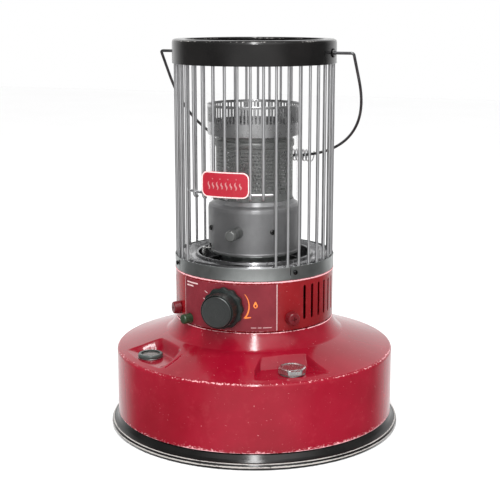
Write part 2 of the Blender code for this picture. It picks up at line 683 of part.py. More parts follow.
def guard_cage(mats):
    low_ring = [(RING_R[0], 227), (RING_R[1], 227), (RING_R[1], 231), (RING_R[0], 231)]
    high_ring = [(RING_R[0], 512), (RING_R[1], 512), (RING_R[1], 516), (RING_R[0], 516)]
    wires = []
    count = round((360 - 2 * OPENING_HALF_AZ) / WIRE_PITCH) + 1
    for i in range(count):
        azimuth = OPENING_HALF_AZ + i * WIRE_PITCH
        foot = around(WIRE_CIRCLE_R, azimuth, WIRE_BOTTOM_Z)
        head = around(WIRE_CIRCLE_R, azimuth, WIRE_TOP_Z)
        wires.append(swept([foot, head], WIRE_R, 6))
    obj = finish(turned(low_ring, SHELL_SIDES), "guard_cage", mats["wire"])
    join(obj, tool(merge(*wires), "add_cage_wires"))
    join(obj, tool(turned(high_ring, SHELL_SIDES), "add_cage_top_ring"))


def front_grille(mats):
    bar = []
    for i in range(9):
        bar.append(around(CROSS_BAR_R, 34.4 * (i / 4 - 1), CROSS_BAR_Z))
    obj = finish(swept(bar, WIRE_R, 8), "front_grille", mats["wire"])
    wires = []
    for i in range(-3, 4):
        azimuth = i * WIRE_PITCH
        path = ((WIRE_CIRCLE_R, WIRE_TOP_Z - 2.4), (WIRE_CIRCLE_R, 340), (107.4, 336.4), (105.0, 334.4), (101.6, 334.6))
        wires.append(swept([around(radius, azimuth, height) for radius, height in path], WIRE_R, 6))
    join(obj, tool(merge(*wires), "add_short_wires"))


def badge(mats):
    outline = []
    corner = 9.0
    for centre_x, centre_z, start in ((24.5, 362.0, 0), (-24.5, 362.0, 90), (-24.5, 346.0, 180), (24.5, 346.0, 270)):
        for i in range(4):
            angle = math.radians(start + 30 * i)
            outline.append((centre_x + corner * math.cos(angle), centre_z + corner * math.sin(angle)))
    plate = curved_plate((110.4, 111.9), (-25, 25), (330, 380), 14)
    obj = finish(plate, "badge", mats["red"])
    shape = tool(prism(outline, -116, -90, "xzy"), "keep_badge_outline")
    combine(obj, shape, "INTERSECT")


def reflector_pan(mats):
    line = [(104.6, 226.2), (104.6, 240.5)]
    line += [(102.6, 244.6), (98.0, 245.8), (88.0, 240.2), (82.6, 240.2), (81.4, 245.4), (78.4, 245.4), (76.8, 226.4)]
    line.append((50.0, 226.4))
    obj = finish(turned(sheet(line, 0.8), TUBE_SIDES), "reflector_pan", mats["pan"])
    place = around(69.2, IGNITER_AZ, 226)
    hole = box((-5.6, -6.4, -3), (5.6, 6.8, 3))
    cut(obj, tool(hole, "cut_igniter_slot", place, (0, 0, IGNITER_AZ)))


# ---------------------------------------------------------------- burner


def burner(mats):
    line = [(65.2, BURNER_Z), (65.2, 252.0), (BURNER_R, 252.6), (BURNER_R, BURNER_TOP_Z)]
    line += [(63.6, 312.6), (60.8, 314.8), (56.4, 316.4), (54.2, 322.0)]
    base = finish(turned(sheet(line, 0.8), TUBE_SIDES), "burner_base", mats["burner"])
    notch = box((-5.4, -68, BURNER_Z - 2), (5.4, -58, 260))
    cut(base, tool(notch, "cut_igniter_notch", (0, 0, 0), (0, 0, IGNITER_AZ)))

    knob_place = around(BURNER_R + GAP, 0, BURNER_KNOB_Z)
    outline = [(0, -4), (2.0, -4), (2.0, 0), (7.2, 0), (6.8, 8.0), (4.9, 13.0), (6.6, 19.0), (6.6, 24.6), (4.4, 27.8)]
    outline.append((0, 28.4))
    finish(turned(outline, 12), "burner_knob", mats["burner"], knob_place, outward(0))
    cut(base, tool(prism(disc(2.5, 12), -6, 6), "cut_burner_knob", knob_place, outward(0)))

    screw = [(0, -3.5), (1.5, -3.5), (1.5, 0), (3.3, 0), (3.1, 1.4), (1.8, 2.0), (0, 2.0)]
    for label, azimuth in (("left", -47.5), ("right", 47.5)):
        place = around(BURNER_R + GAP, azimuth, 283)
        finish(turned(screw, SCREW_SIDES), "burner_screw_" + label, mats["wire"], place, outward(azimuth))
        cut(base, tool(prism(disc(2.0, 12), -6, 6), "cut_burner_screw_" + label, place, outward(azimuth)))

    outer = [(52.4, 322.4), (FLAME_TUBE_R, 322.4), (FLAME_TUBE_R, 393.6), (55.0, 394.6), (55.0, 402.4)]
    outer += [(FLAME_TUBE_R, 403.4), (FLAME_TUBE_R, 409.4), (52.4, 409.4)]
    finish(turned(outer, TUBE_SIDES), "flame_tube_outer", mats["burner"])
    inner = [(35.2, 249.5), (38.8, 249.5), (38.8, 250.4), (36.0, 250.6), (36.0, 398), (35.2, 398)]
    finish(turned(inner, TUBE_SIDES), "flame_tube_inner", mats["burner"])
    spreader = [(0, 398.5), (38.0, 398.5), (44.0, 402.6), (44.0, 403.8), (36.0, 406.6), (0, 408.0)]
    finish(turned(spreader, TUBE_SIDES), "flame_spreader", mats["burner"])
    glass = [(GLASS_R[0], GLASS_Z[0]), (GLASS_R[1], GLASS_Z[0]), (GLASS_R[1], GLASS_Z[1]), (GLASS_R[0], GLASS_Z[1])]
    finish(turned(glass, TUBE_SIDES), "glass_chimney", mats["glass"])

    wall = [(50.0, CROWN_Z), (64.5, CROWN_Z), (64.5, CROWN_TOP_Z), (63.3, CROWN_TOP_Z)]
    wall += [(63.3, CROWN_Z + 1.0), (50.0, CROWN_Z + 1.0)]
    crown = finish(turned(wall, CROWN_SLOTS), "crown", mats["burner"])
    slots = []
    for i in range(CROWN_SLOTS):
        slot = box((-2.4, -68, 428.5), (2.4, -60, 448.5))
        azimuth = (i + 0.5) * 360 / CROWN_SLOTS
        bmesh.ops.rotate(slot, verts=slot.verts, matrix=Matrix.Rotation(math.radians(azimuth), 3, "Z"))
        slots.append(slot)
    cut(crown, tool(merge(*slots), "cut_crown_slots"))


# ---------------------------------------------------------------- top and handle


def top_pieces(mats):
    low, high = TOP_RING_Z
    outline = [(TOP_RING_R, low), (TOP_RING_R, high - 6.4)]
    outline += [(TOP_RING_R - 1.4, high - 1.8), (TOP_RING_R - 5.4, high), (95.0, high), (95.0, 534.6), (96.2, 534.6)]
    outline += [(96.2, high - 1.4), (106.0, high - 1.4), (109.6, 536.0), (110.7, 532.4), (110.7, low)]
    ring = finish(turned(outline, SHELL_SIDES), "top_ring", mats["black"])
    bush = [(2.5, -3.6), (4.0, -3.6), (4.0, 0.3), (6.2, 0.4), (5.8, 2.0), (2.5, 2.0)]
    for label, side in (("left", -1), ("right", 1)):
        place = (side * TOP_RING_R, 0, PIVOT_Z)
        finish(turned(bush, 12), "handle_bush_" + label, mats["bail"], place, (0, side * 90, 0))
        hole = prism(disc(4.4, SMALL_SIDES), -6, 6)
        cut(ring, tool(hole, "cut_pivot_" + label, place, (0, side * 90, 0)))

    plate_outline = [(0, 531.0), (108.4, 531.0), (108.4, 532.2), (0, 532.2)]
    plate = finish(turned(plate_outline, TUBE_SIDES), "top_plate", mats["black"])
    slots = []
    for i in range(TOP_SLOTS):
        slot = box((-2.5, -90, 526), (2.5, -56, 538))
        azimuth = 360 * i / TOP_SLOTS
        bmesh.ops.rotate(slot, verts=slot.verts, matrix=Matrix.Rotation(math.radians(azimuth), 3, "Z"))
        slots.append(slot)
    cut(plate, tool(merge(*slots), "cut_top_slots"))


def bail_path():
    """Half of the bail, from the pivot to the middle of the grip, in its own plane (x, drop)."""
    knee = 6.0
    half = [(105.5, 0.0), (120.0, 0.0)]
    half += bulge((BAIL_HALF_WIDTH - knee, 0.0), (BAIL_HALF_WIDTH, knee), -knee * (1 - math.cos(math.radians(45))), 3)
    half.append((BAIL_HALF_WIDTH, BAIL_STRAIGHT * 0.55))
    steps = 9
    for i in range(steps + 1):
        angle = math.pi / 2 * i / steps
        power = 2 / BAIL_EXPONENT
        x = BAIL_HALF_WIDTH * math.cos(angle) ** power if i < steps else 0.0
        drop = BAIL_STRAIGHT + (BAIL_DROP - BAIL_STRAIGHT) * math.sin(angle) ** power
        half.append((x, drop))
    return half


def handle(mats):
    half = bail_path()
    path = [(x, 0, -drop) for x, drop in half]
    path += [(-x, 0, -drop) for x, drop in half[-2::-1]]
    turn = (BAIL_TILT, 0, 0)
    finish(swept(path, BAIL_WIRE_R, 6), "bail", mats["bail"], (0, 0, PIVOT_Z), turn)
    sleeve = [(GRIP_R[0], -GRIP_HALF_LENGTH), (GRIP_R[1], -GRIP_HALF_LENGTH), (GRIP_R[1], GRIP_HALF_LENGTH), (GRIP_R[0], GRIP_HALF_LENGTH)]
    grip = turned(sleeve, 12)
    bmesh.ops.rotate(grip, verts=grip.verts, matrix=Matrix.Rotation(math.radians(90), 3, "Y"))
    bmesh.ops.translate(grip, verts=grip.verts, vec=(0, 0, -(BAIL_DROP - 1.6)))
    finish(grip, "bail_grip", mats["wire"], (0, 0, PIVOT_Z), turn)


def main():
    clear_scene()
    mats = make_materials()
    drip_tray(mats)
    tank_shell(mats)
    tank_pan(mats)
    filler(mats)
    fuel_gauge(mats)
    control_drum(mats)
    front_panel(mats)
    drum_studs(mats)
    control_knob(mats)
    wick_parts(mats)
    ignition_button(mats)
    igniter(mats)
    guard_band(mats)
    guard_cage(mats)
    front_grille(mats)
    badge(mats)
    reflector_pan(mats)
    burner(mats)
    top_pieces(mats)
    handle(mats)


main()
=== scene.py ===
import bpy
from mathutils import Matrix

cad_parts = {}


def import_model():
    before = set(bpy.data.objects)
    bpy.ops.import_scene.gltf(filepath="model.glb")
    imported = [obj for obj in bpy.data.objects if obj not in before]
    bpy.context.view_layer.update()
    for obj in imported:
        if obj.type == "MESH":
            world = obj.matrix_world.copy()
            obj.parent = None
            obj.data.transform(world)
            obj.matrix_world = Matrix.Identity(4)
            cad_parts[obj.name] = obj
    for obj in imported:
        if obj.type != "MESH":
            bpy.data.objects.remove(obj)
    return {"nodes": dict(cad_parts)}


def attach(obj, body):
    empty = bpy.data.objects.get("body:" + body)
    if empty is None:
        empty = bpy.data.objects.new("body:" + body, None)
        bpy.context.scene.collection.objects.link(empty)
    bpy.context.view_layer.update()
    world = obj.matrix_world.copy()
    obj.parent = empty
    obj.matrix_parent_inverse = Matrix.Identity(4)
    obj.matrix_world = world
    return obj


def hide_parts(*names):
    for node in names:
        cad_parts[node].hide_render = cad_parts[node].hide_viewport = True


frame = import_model()

"""Looks of the round kerosene heater.

Shapes are written in millimetres: origin on the heater's axis at the floor, +Z up, the control knob on
the -Y side. Azimuths run from the front (-Y) towards +X.
"""

import math

import bmesh
import bpy
from mathutils import Matrix, Vector

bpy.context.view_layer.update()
MM = 0.001
FULL_TURN = 2 * math.pi


# ---------------------------------------------------------------- small geometry helpers


def around(radius, azimuth, height):
    """Point at a distance and azimuth from the heater's axis."""
    angle = math.radians(azimuth)
    return (radius * math.sin(angle), -radius * math.cos(angle), height)


def outward(radius, azimuth, height):
    """Placement whose local Z points away from the heater's axis and whose local Y points up."""
    where = Vector(around(radius, azimuth, height)) * MM
    turn = Matrix.Rotation(math.radians(azimuth), 4, "Z") @ Matrix.Rotation(math.pi / 2, 4, "X")
    return Matrix.Translation(where) @ turn


def at(x, y, z):
    """Placement moved by millimetres."""
    return Matrix.Translation(Vector((x, y, z)) * MM)


def smoothstep(value):
    """Eases from 0 to 1."""
    value = min(1.0, max(0.0, value))
    return value * value * (3 - 2 * value)


def between(table, x):
    """Straight-line interpolation in a short list of (x, y)."""
    if x <= table[0][0]:
        return table[0][1]
    for (xa, ya), (xb, yb) in zip(table, table[1:]):
        if x <= xb:
            return ya + (yb - ya) * (x - xa) / (xb - xa)
    return table[-1][1]


def soften(points, radius, steps=4, closed=True):
    """Round the corners of an outline. Points on the axis stay sharp."""
    out = []
    count = len(points)
    for i, point in enumerate(points):
        if (not closed and i in (0, count - 1)) or abs(point[0]) < 1e-6:
            out.append(tuple(point))
            continue
        here = Vector(point)
        back = Vector(points[i - 1]) - here
        ahead = Vector(points[(i + 1) % count]) - here
        angle = back.angle(ahead, math.pi)
        if angle > math.radians(174):
            out.append(tuple(point))
            continue
        cut = min(radius / math.tan(angle / 2), 0.45 * back.length, 0.45 * ahead.length)
        start = here + back.normalized() * cut
        end = here + ahead.normalized() * cut
        for k in range(steps + 1):
            t = k / steps
            out.append(tuple(start * (1 - t) ** 2 + here * 2 * t * (1 - t) + end * t * t))
    return out


def bulge(start, end, sagitta, steps):
    """Arc from start to end; a positive sagitta bows it to the left of that direction."""
    a = Vector(start)
    b = Vector(end)
    chord = b - a
    half = chord.length / 2
    left = Vector((-chord.y, chord.x)).normalized()
    radius = (half * half + sagitta * sagitta) / (2 * sagitta)
    centre = (a + b) / 2 + left * (sagitta - radius)
    sweep = 4 * math.atan(sagitta / half)
    return [tuple(centre + Matrix.Rotation(-sweep * i / steps, 2) @ (a - centre)) for i in range(steps + 1)]


def offset_line(line, thickness):
    """Copy of an open line, moved to its left by a thickness."""
    out = []
    last = len(line) - 1
    for i, point in enumerate(line):
        here = Vector(point)
        before = here - Vector(line[i - 1]) if i > 0 else Vector(line[1]) - here
        after = Vector(line[i + 1]) - here if i < last else before
        normal_a = Vector((-before.y, before.x)).normalized()
        normal_b = Vector((-after.y, after.x)).normalized()
        mitre = (normal_a + normal_b) / max(0.4, 1 + normal_a.dot(normal_b))
        out.append(tuple(here + mitre * thickness))
    return out


def lathe(outline, sides=160, wave=None):
    """Vertices and faces of a closed (radius, height) outline turned about Z."""
    verts, rings, faces = [], [], []
    for index, (radius, height) in enumerate(outline):
        if radius < 1e-6:
            rings.append([len(verts)])
            verts.append((0.0, 0.0, height))
            continue
        rings.append(list(range(len(verts), len(verts) + sides)))
        for i in range(sides):
            turn = FULL_TURN * i / sides
            reach = radius * (wave(index, turn) if wave else 1.0)
            verts.append((reach * math.cos(turn), reach * math.sin(turn), height))
    for i, lower in enumerate(rings):
        upper = rings[(i + 1) % len(rings)]
        if len(lower) == 1 and len(upper) == 1:
            continue
        for k in range(sides):
            n = (k + 1) % sides
            corners = [
                lower[k % len(lower)], lower[n % len(lower)], upper[n % len(upper)], upper[k % len(upper)]
            ]
            faces.append(tuple(dict.fromkeys(corners)))
    return verts, faces


def wire(path, radius, sides=10, closed=False):
    """Round wire along a path, with slightly rounded ends."""
    points = [Vector(p) for p in path]
    count = len(points)
    radii = [radius] * count
    if not closed:
        first = (points[0] - points[1]).normalized()
        last = (points[-1] - points[-2]).normalized()
        cap = radius * 0.35
        points = [points[0], points[0] - first * cap] + points[1:-1] + [points[-1] - last * cap, points[-1]]
        radii = [radius * 0.72, radius] + [radius] * (count - 2) + [radius, radius * 0.72]
        count += 2
    verts, faces = [], []
    tangent = (points[1] - points[0]).normalized()
    side = tangent.orthogonal().normalized()
    for i, point in enumerate(points):
        if closed:
            ahead = points[(i + 1) % count] - points[i - 1]
        else:
            ahead = points[min(i + 1, count - 1)] - points[max(i - 1, 0)]
        ahead.normalize()
        side = (tangent.rotation_difference(ahead) @ side).normalized()
        tangent = ahead
        other = tangent.cross(side)
        for k in range(sides):
            turn = FULL_TURN * k / sides
            verts.append(tuple(point + (side * math.cos(turn) + other * math.sin(turn)) * radii[i]))
    for i in range(count if closed else count - 1):
        low, high = i * sides, ((i + 1) % count) * sides
        for k in range(sides):
            n = (k + 1) % sides
            faces.append((low + k, low + n, high + n, high + k))
    if not closed:
        faces.append(tuple(range(sides))[::-1])
        faces.append(tuple(range((count - 1) * sides, count * sides)))
    return verts, faces


def prism(outline, low, high, order="xyz"):
    """Extruded outline; order names the axes of (outline a, outline b, extrusion)."""
    verts = []
    for depth in (low, high):
        for a, b in outline:
            place = dict(zip(order, (a, b, depth)))
            verts.append((place["x"], place["y"], place["z"]))
    n = len(outline)
    faces = [tuple(range(n))[::-1], tuple(range(n, 2 * n))]
    faces += [(i, (i + 1) % n, n + (i + 1) % n, n + i) for i in range(n)]
    return verts, faces


def rectangle(a, b):
    """Outline with these half-sides."""
    return [(-a, -b), (a, -b), (a, b), (-a, b)]


def disc(radius, sides, centre=(0, 0)):
    """Round outline."""
    return [
        (
            centre[0] + radius * math.cos(FULL_TURN * i / sides),
            centre[1] + radius * math.sin(FULL_TURN * i / sides)
        )
        for i in range(sides)
    ]


def thicken(verts, faces, offsets):
    """Close an open sheet: a second copy at the offsets, joined along every open edge."""
    n = len(verts)
    both = list(verts) + [tuple(a + b for a, b in zip(v, o)) for v, o in zip(verts, offsets)]
    closed = list(faces)
    edges = set()
    for face in faces:
        closed.append(tuple(n + i for i in reversed(face)))
        for k, a in enumerate(face):
            edges.add((a, face[(k + 1) % len(face)]))
    closed += [(b, a, n + a, n + b) for a, b in edges if (b, a) not in edges]
    return both, closed


def turned_sheet(profile, azimuths, thickness, hole=None, shift=None, closed=True):
    """Sheet turned round the axis from an open (radius, height) profile, with holes left out.

    hole(row, column) says which cells stay open; shift(row, column) moves a vertex (radius, azimuth, height).
    """
    back = offset_line(profile, thickness)
    verts, offsets, faces = [], [], []
    columns = len(azimuths)
    for i, (radius, height) in enumerate(profile):
        for j, azimuth in enumerate(azimuths):
            dr, da, dz = shift(i, j) if shift else (0, 0, 0)
            point = around(radius + dr, azimuth + da, height + dz)
            inner = around(back[i][0] + dr, azimuth + da, back[i][1] + dz)
            verts.append(point)
            offsets.append(tuple(b - a for a, b in zip(point, inner)))
    for i in range(len(profile) - 1):
        for j in range(columns if closed else columns - 1):
            if hole and hole(i, j):
                continue
            k = (j + 1) % columns
            faces.append((i * columns + j, i * columns + k, (i + 1) * columns + k, (i + 1) * columns + j))
    return thicken(verts, faces, offsets)


class Shape:
    """Vertices and faces gathered from several parts of one piece."""

    def __init__(self, *parts):
        self.verts = []
        self.faces = []
        for part in parts:
            self.add(part)

    def add(self, part, place=None):
        verts, faces = part
        base = len(self.verts)
        if place:
            verts = [tuple(place @ Vector(v)) for v in verts]
        self.verts += verts
        self.faces += [tuple(base + i for i in face) for face in faces]
        return self


def shade(obj, angle=35):
    """Smooth shading, with edges sharper than the angle left crisp."""
    obj.data.shade_smooth()
    obj.data.set_sharp_from_angle(angle=math.radians(angle))


def build(name, part, place=None, angle=35):
    """An object in metres from vertices in millimetres."""
    verts, faces = (part.verts, part.faces) if isinstance(part, Shape) else part
    mesh = bpy.data.meshes.new(name)
    mesh.from_pydata([(x * MM, y * MM, z * MM) for x, y, z in verts], [], faces)
    bm = bmesh.new()
    bm.from_mesh(mesh)
    bmesh.ops.recalc_face_normals(bm, faces=bm.faces)
    bm.to_mesh(mesh)
    bm.free()
    obj = bpy.data.objects.new(name, mesh)
    bpy.context.scene.collection.objects.link(obj)
    if place:
        obj.matrix_world = place
    shade(obj, angle)
    return obj


def piece(obj, mat, body, slot, *nodes):
    """Give an object its material and its body, in place of the CAD nodes named."""
    obj.data.materials.clear()
    obj.data.materials.append(mat)
    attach(obj, body)
    if nodes:
        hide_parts(*nodes)
    return obj


def drill(obj, *cutters, angle=35):
    """Boolean holes, applied to the mesh."""
    for cutter in cutters:
        modifier = obj.modifiers.new("hole", "BOOLEAN")
        modifier.operation = "DIFFERENCE"
        modifier.solver = "EXACT"
        modifier.object = cutter
    bpy.context.view_layer.update()
    mesh = bpy.data.meshes.new_from_object(obj.evaluated_get(bpy.context.evaluated_depsgraph_get()))
    obj.modifiers.clear()
    obj.data = mesh
    for cutter in cutters:
        bpy.data.objects.remove(cutter, do_unlink=True)
    shade(obj, angle)
    return obj


def pin(radius, low, high, place, sides=40):
    """Round cutter."""
    return build("cutter", prism(disc(radius, sides), low, high), place)


def stroke(points, widths):
    """Closed outline of a brush stroke with a width at each point."""
    left, right = [], []
    for i, point in enumerate(points):
        here = Vector(point)
        along = Vector(points[min(i + 1, len(points) - 1)]) - Vector(points[max(i - 1, 0)])
        normal = Vector((-along.y, along.x)).normalized() * widths[i] / 2
        left.append(tuple(here + normal))
        right.append(tuple(here - normal))
    return left + right[::-1]


def flat_shape(loops, low, high, step=2.0):
    """Filled outlines (holes allowed), extruded from low to high, cut into strips so that they bend."""
    curve = bpy.data.curves.new("outline", "CURVE")
    curve.dimensions = "2D"
    curve.fill_mode = "BOTH"
    curve.extrude = (high - low) / 2
    for loop in loops:
        spline = curve.splines.new("POLY")
        spline.points.add(len(loop) - 1)
        for point, (x, y) in zip(spline.points, loop):
            point.co = (x, y, 0, 1)
        spline.use_cyclic_u = True
    holder = bpy.data.objects.new("outline", curve)
    bpy.context.scene.collection.objects.link(holder)
    bpy.context.view_layer.update()
    mesh = bpy.data.meshes.new_from_object(holder.evaluated_get(bpy.context.evaluated_depsgraph_get()))
    bpy.data.objects.remove(holder, do_unlink=True)
    bm = bmesh.new()
    bm.from_mesh(mesh)
    bpy.data.meshes.remove(mesh)
    bmesh.ops.remove_doubles(bm, verts=bm.verts, dist=0.001)
    xs = [v.co.x for v in bm.verts]
    cut = math.floor(min(xs) / step) * step + step
    while cut < max(xs):
        bmesh.ops.bisect_plane(
            bm, geom=bm.verts[:] + bm.edges[:] + bm.faces[:], plane_co=(cut, 0, 0), plane_no=(1, 0, 0)
        )
        cut += step
    for vert in bm.verts:
        vert.co.z += (high + low) / 2
    bm.verts.index_update()
    verts = [tuple(v.co) for v in bm.verts]
    faces = [tuple(v.index for v in f.verts) for f in bm.faces]
    bm.free()
    return verts, faces


def wrap(part, radius, azimuth, height):
    """Bend a flat shape round the heater: x runs to the right along the wall, y up, z outwards."""
    verts, faces = part
    bent = [around(radius + z, azimuth + math.degrees(x / radius), height + y) for x, y, z in verts]
    return bent, faces


def rounded_rectangle(half_width, half_height, corner, steps=8, middle=(0, 0)):
    """Outline with arcs at its corners."""
    out = []
    for sx, sy, start in ((1, 1, 0), (-1, 1, 90), (-1, -1, 180), (1, -1, 270)):
        for i in range(steps + 1):
            angle = math.radians(start + 90 * i / steps)
            x = middle[0] + sx * (half_width - corner) + corner * math.cos(angle)
            out.append((x, middle[1] + sy * (half_height - corner) + corner * math.sin(angle)))
    return out


# ---------------------------------------------------------------- material helper


class Paint:
    """A procedural material: a Principled shader and the nodes that feed it."""

    def __init__(self, name, metallic=0.0, roughness=0.5, **sockets):
        self.mat = bpy.data.materials.new(name)
        self.mat.use_nodes = True
        self.nodes = self.mat.node_tree.nodes
        self.links = self.mat.node_tree.links
        self.shader = self.nodes["Principled BSDF"]
        self.shader.inputs["Metallic"].default_value = metallic
        self.shader.inputs["Roughness"].default_value = roughness
        for key, value in sockets.items():
            self.shader.inputs[key.replace("_", " ")].default_value = value
        self.coords = self.nodes.new("ShaderNodeTexCoord").outputs["Object"]

    def put(self, socket, value):
        """Link a node output to a socket, or write a number or colour on it."""
        if isinstance(value, bpy.types.NodeSocket):
            self.links.new(value, socket)
        elif isinstance(value, (tuple, list)):
            if len(value) == 3 and len(socket.default_value) == 4:
                value = (*value, 1.0)
            socket.default_value = value
        else:
            socket.default_value = value

    def set(self, name, value):
        """Feed one of the shader's own sockets."""
        self.put(self.shader.inputs[name], value)
        return self

    def noise(self, scale, detail=3.0, rough=0.5, stretch=(1, 1, 1), distortion=0.0):
        """Cloud pattern from 0 to 1, scale in features per metre."""
        mapping = self.nodes.new("ShaderNodeMapping")
        mapping.inputs["Scale"].default_value = stretch
        self.links.new(self.coords, mapping.inputs["Vector"])
        node = self.nodes.new("ShaderNodeTexNoise")
        node.inputs["Scale"].default_value = scale
        node.inputs["Detail"].default_value = detail
        node.inputs["Roughness"].default_value = rough
        node.inputs["Distortion"].default_value = distortion
        self.links.new(mapping.outputs["Vector"], node.inputs["Vector"])
        return node.outputs["Fac"]

    def spread(self, value, low, high, to_low=0.0, to_high=1.0):
        """Map low..high to to_low..to_high, clamped."""
        node = self.nodes.new("ShaderNodeMapRange")
        for key, number in (("From Min", low), ("From Max", high), ("To Min", to_low), ("To Max", to_high)):
            node.inputs[key].default_value = number
        self.put(node.inputs["Value"], value)
        return node.outputs["Result"]

    def math(self, operation, a, b=0.0):
        """One Math node."""
        node = self.nodes.new("ShaderNodeMath")
        node.operation = operation
        self.put(node.inputs[0], a)
        self.put(node.inputs[1], b)
        return node.outputs["Value"]

    def tint(self, factor, a, b):
        """Mix of two colours, a at 0 and b at 1."""
        node = self.nodes.new("ShaderNodeMix")
        node.data_type = "RGBA"
        self.put(node.inputs["Factor"], factor)
        self.put(node.inputs[6], a)
        self.put(node.inputs[7], b)
        return node.outputs[2]

    def axis(self, which):
        """One local coordinate, in metres."""
        node = self.nodes.new("ShaderNodeSeparateXYZ")
        self.links.new(self.coords, node.inputs[0])
        return node.outputs["XYZ".index(which)]

    def reach(self):
        """Distance from the local Z axis."""
        x, y = self.axis("X"), self.axis("Y")
        squares = self.math("ADD", self.math("MULTIPLY", x, x), self.math("MULTIPLY", y, y))
        return self.math("SQRT", squares)

    def turn(self):
        """Angle round the local Z axis."""
        return self.math("ARCTAN2", self.axis("Y"), self.axis("X"))

    def near(self, value, centre, width):
        """1 where value is at centre, falling to 0 at a width from it."""
        away = self.math("ABSOLUTE", self.math("SUBTRACT", value, centre))
        return self.spread(away, 0.0, width, 1.0, 0.0)

    def bump(self, height, distance, strength=1.0):
        """Add relief on top of any relief set before."""
        node = self.nodes.new("ShaderNodeBump")
        node.inputs["Distance"].default_value = distance
        node.inputs["Strength"].default_value = strength
        self.put(node.inputs["Height"], height)
        if self.shader.inputs["Normal"].is_linked:
            self.links.new(self.shader.inputs["Normal"].links[0].from_socket, node.inputs["Normal"])
        self.links.new(node.outputs["Normal"], self.shader.inputs["Normal"])
        return self


# ---------------------------------------------------------------- materials

CHIP = (0.86, 0.42, 0.45)


def chips(paint, lines, base_colour, roughness, scatter=0.0):
    """Paint chipped off in broken lines. lines are masks from 0 to 1; scatter adds a few stray specks."""
    grain = paint.noise(430, 5, 0.62)
    cluster = paint.spread(paint.noise(17, 2, 0.5), 0.44, 0.62, 0.38, 0.9)
    mask = lines[0]
    for line in lines[1:]:
        mask = paint.math("MAXIMUM", mask, line)
    push = paint.math("MULTIPLY", mask, cluster)
    worn = paint.math("ADD", grain, paint.math("MULTIPLY", push, 0.34))
    chip = paint.spread(worn, 0.70, 0.73)
    if scatter:
        specks = paint.spread(paint.noise(300, 3, 0.5), 0.79 - scatter * 0.06, 0.80 - scatter * 0.06)
        chip = paint.math("MAXIMUM", chip, paint.math("MULTIPLY", specks, 0.6))
    paint.set("Base Color", paint.tint(chip, base_colour, CHIP))
    rough = paint.math("ADD", roughness, paint.math("MULTIPLY", chip, 0.4))
    paint.set("Roughness", rough)
    paint.bump(paint.math("MULTIPLY", chip, -1.0), 0.0002, 0.6)
    return chip


def red_enamel(
    name, lines_at=(), light=(0.265, 0.004, 0.018), dark=(0.205, 0.003, 0.012), scatter=0.0, gloss=0.13
):
    """Glossy red enamel with worn lines.

    lines_at holds (what, centre, width, push, limit): a line where height or radius is at centre, worn
    more as push grows. limit is None, or (what, low, high) for the range of the other measure it keeps to.
    """
    paint = Paint(name, Specular_IOR_Level=0.5)
    base = paint.tint(paint.spread(paint.noise(9, 4, 0.6), 0.35, 0.65), dark, light)
    dusty = paint.spread(paint.noise(60, 6, 0.7), 0.55, 0.8, 0.0, 0.10)
    base = paint.tint(dusty, base, (0.55, 0.12, 0.13))
    rough = paint.spread(paint.noise(35, 5, 0.65), 0.3, 0.75, gloss - 0.03, gloss + 0.08)
    measures = {"height": paint.axis("Z"), "radius": paint.reach()}
    masks = []
    for kind, centre, width, push, limit in lines_at:
        mask = paint.math("MULTIPLY", paint.near(measures[kind], centre, width), push)
        if limit:
            other, low, high = limit
            inside = paint.math(
                "MULTIPLY", paint.math("GREATER_THAN", measures[other], low),
                paint.math("LESS_THAN", measures[other], high)
            )
            mask = paint.math("MULTIPLY", mask, inside)
        masks.append(mask)
    if masks:
        chips(paint, masks, base, rough, scatter)
    else:
        paint.set("Base Color", base)
        paint.set("Roughness", rough)
    paint.bump(paint.noise(320, 2, 0.4), 0.00004, 0.35)
    paint.bump(paint.noise(22, 2, 0.4), 0.0006, 0.25)
    return paint.mat


def steel(
    name, light, dark, roughness, brush=None, scale=40, spots=0.0, bump=0.00003, metallic=1.0, drift=1.0
):
    """Worn metal: cloudy tone, brush marks along the stretched axes and a few dark spots."""
    paint = Paint(name, metallic=metallic)
    cloud = paint.spread(paint.noise(scale, 5, 0.6), 0.3, 0.7)
    base = paint.tint(cloud, dark, light)
    marks = paint.noise(900, 3, 0.6, brush or (1, 1, 1))
    base = paint.tint(paint.spread(marks, 0.4, 0.75, 0.0, 0.35), base, tuple(c * 0.72 for c in dark))
    if spots:
        rust = paint.spread(paint.noise(150, 6, 0.7), 0.74 - spots, 0.80 - spots)
        base = paint.tint(paint.math("MULTIPLY", rust, 0.75), base, (0.07, 0.045, 0.035))
    paint.set("Base Color", base)
    paint.set(
        "Roughness",
        paint.spread(
            paint.noise(scale * 2.5, 4, 0.6), 0.3, 0.7, roughness - 0.06 * drift, roughness + 0.1 * drift
        )
    )
    paint.bump(marks, bump, 0.5)
    return paint.mat


def plastic(name, light, dark, roughness, grain=700, depth=0.00004, gloss=0.5):
    """Moulded plastic: slight colour drift and fine grain."""
    paint = Paint(name, roughness=roughness, Specular_IOR_Level=gloss)
    paint.set("Base Color", paint.tint(paint.spread(paint.noise(45, 4, 0.6), 0.3, 0.7), dark, light))
    paint.set(
        "Roughness", paint.spread(paint.noise(120, 4, 0.6), 0.3, 0.7, roughness - 0.08, roughness + 0.1)
    )
    paint.bump(paint.noise(grain, 3, 0.5), depth, 0.5)
    return paint.mat


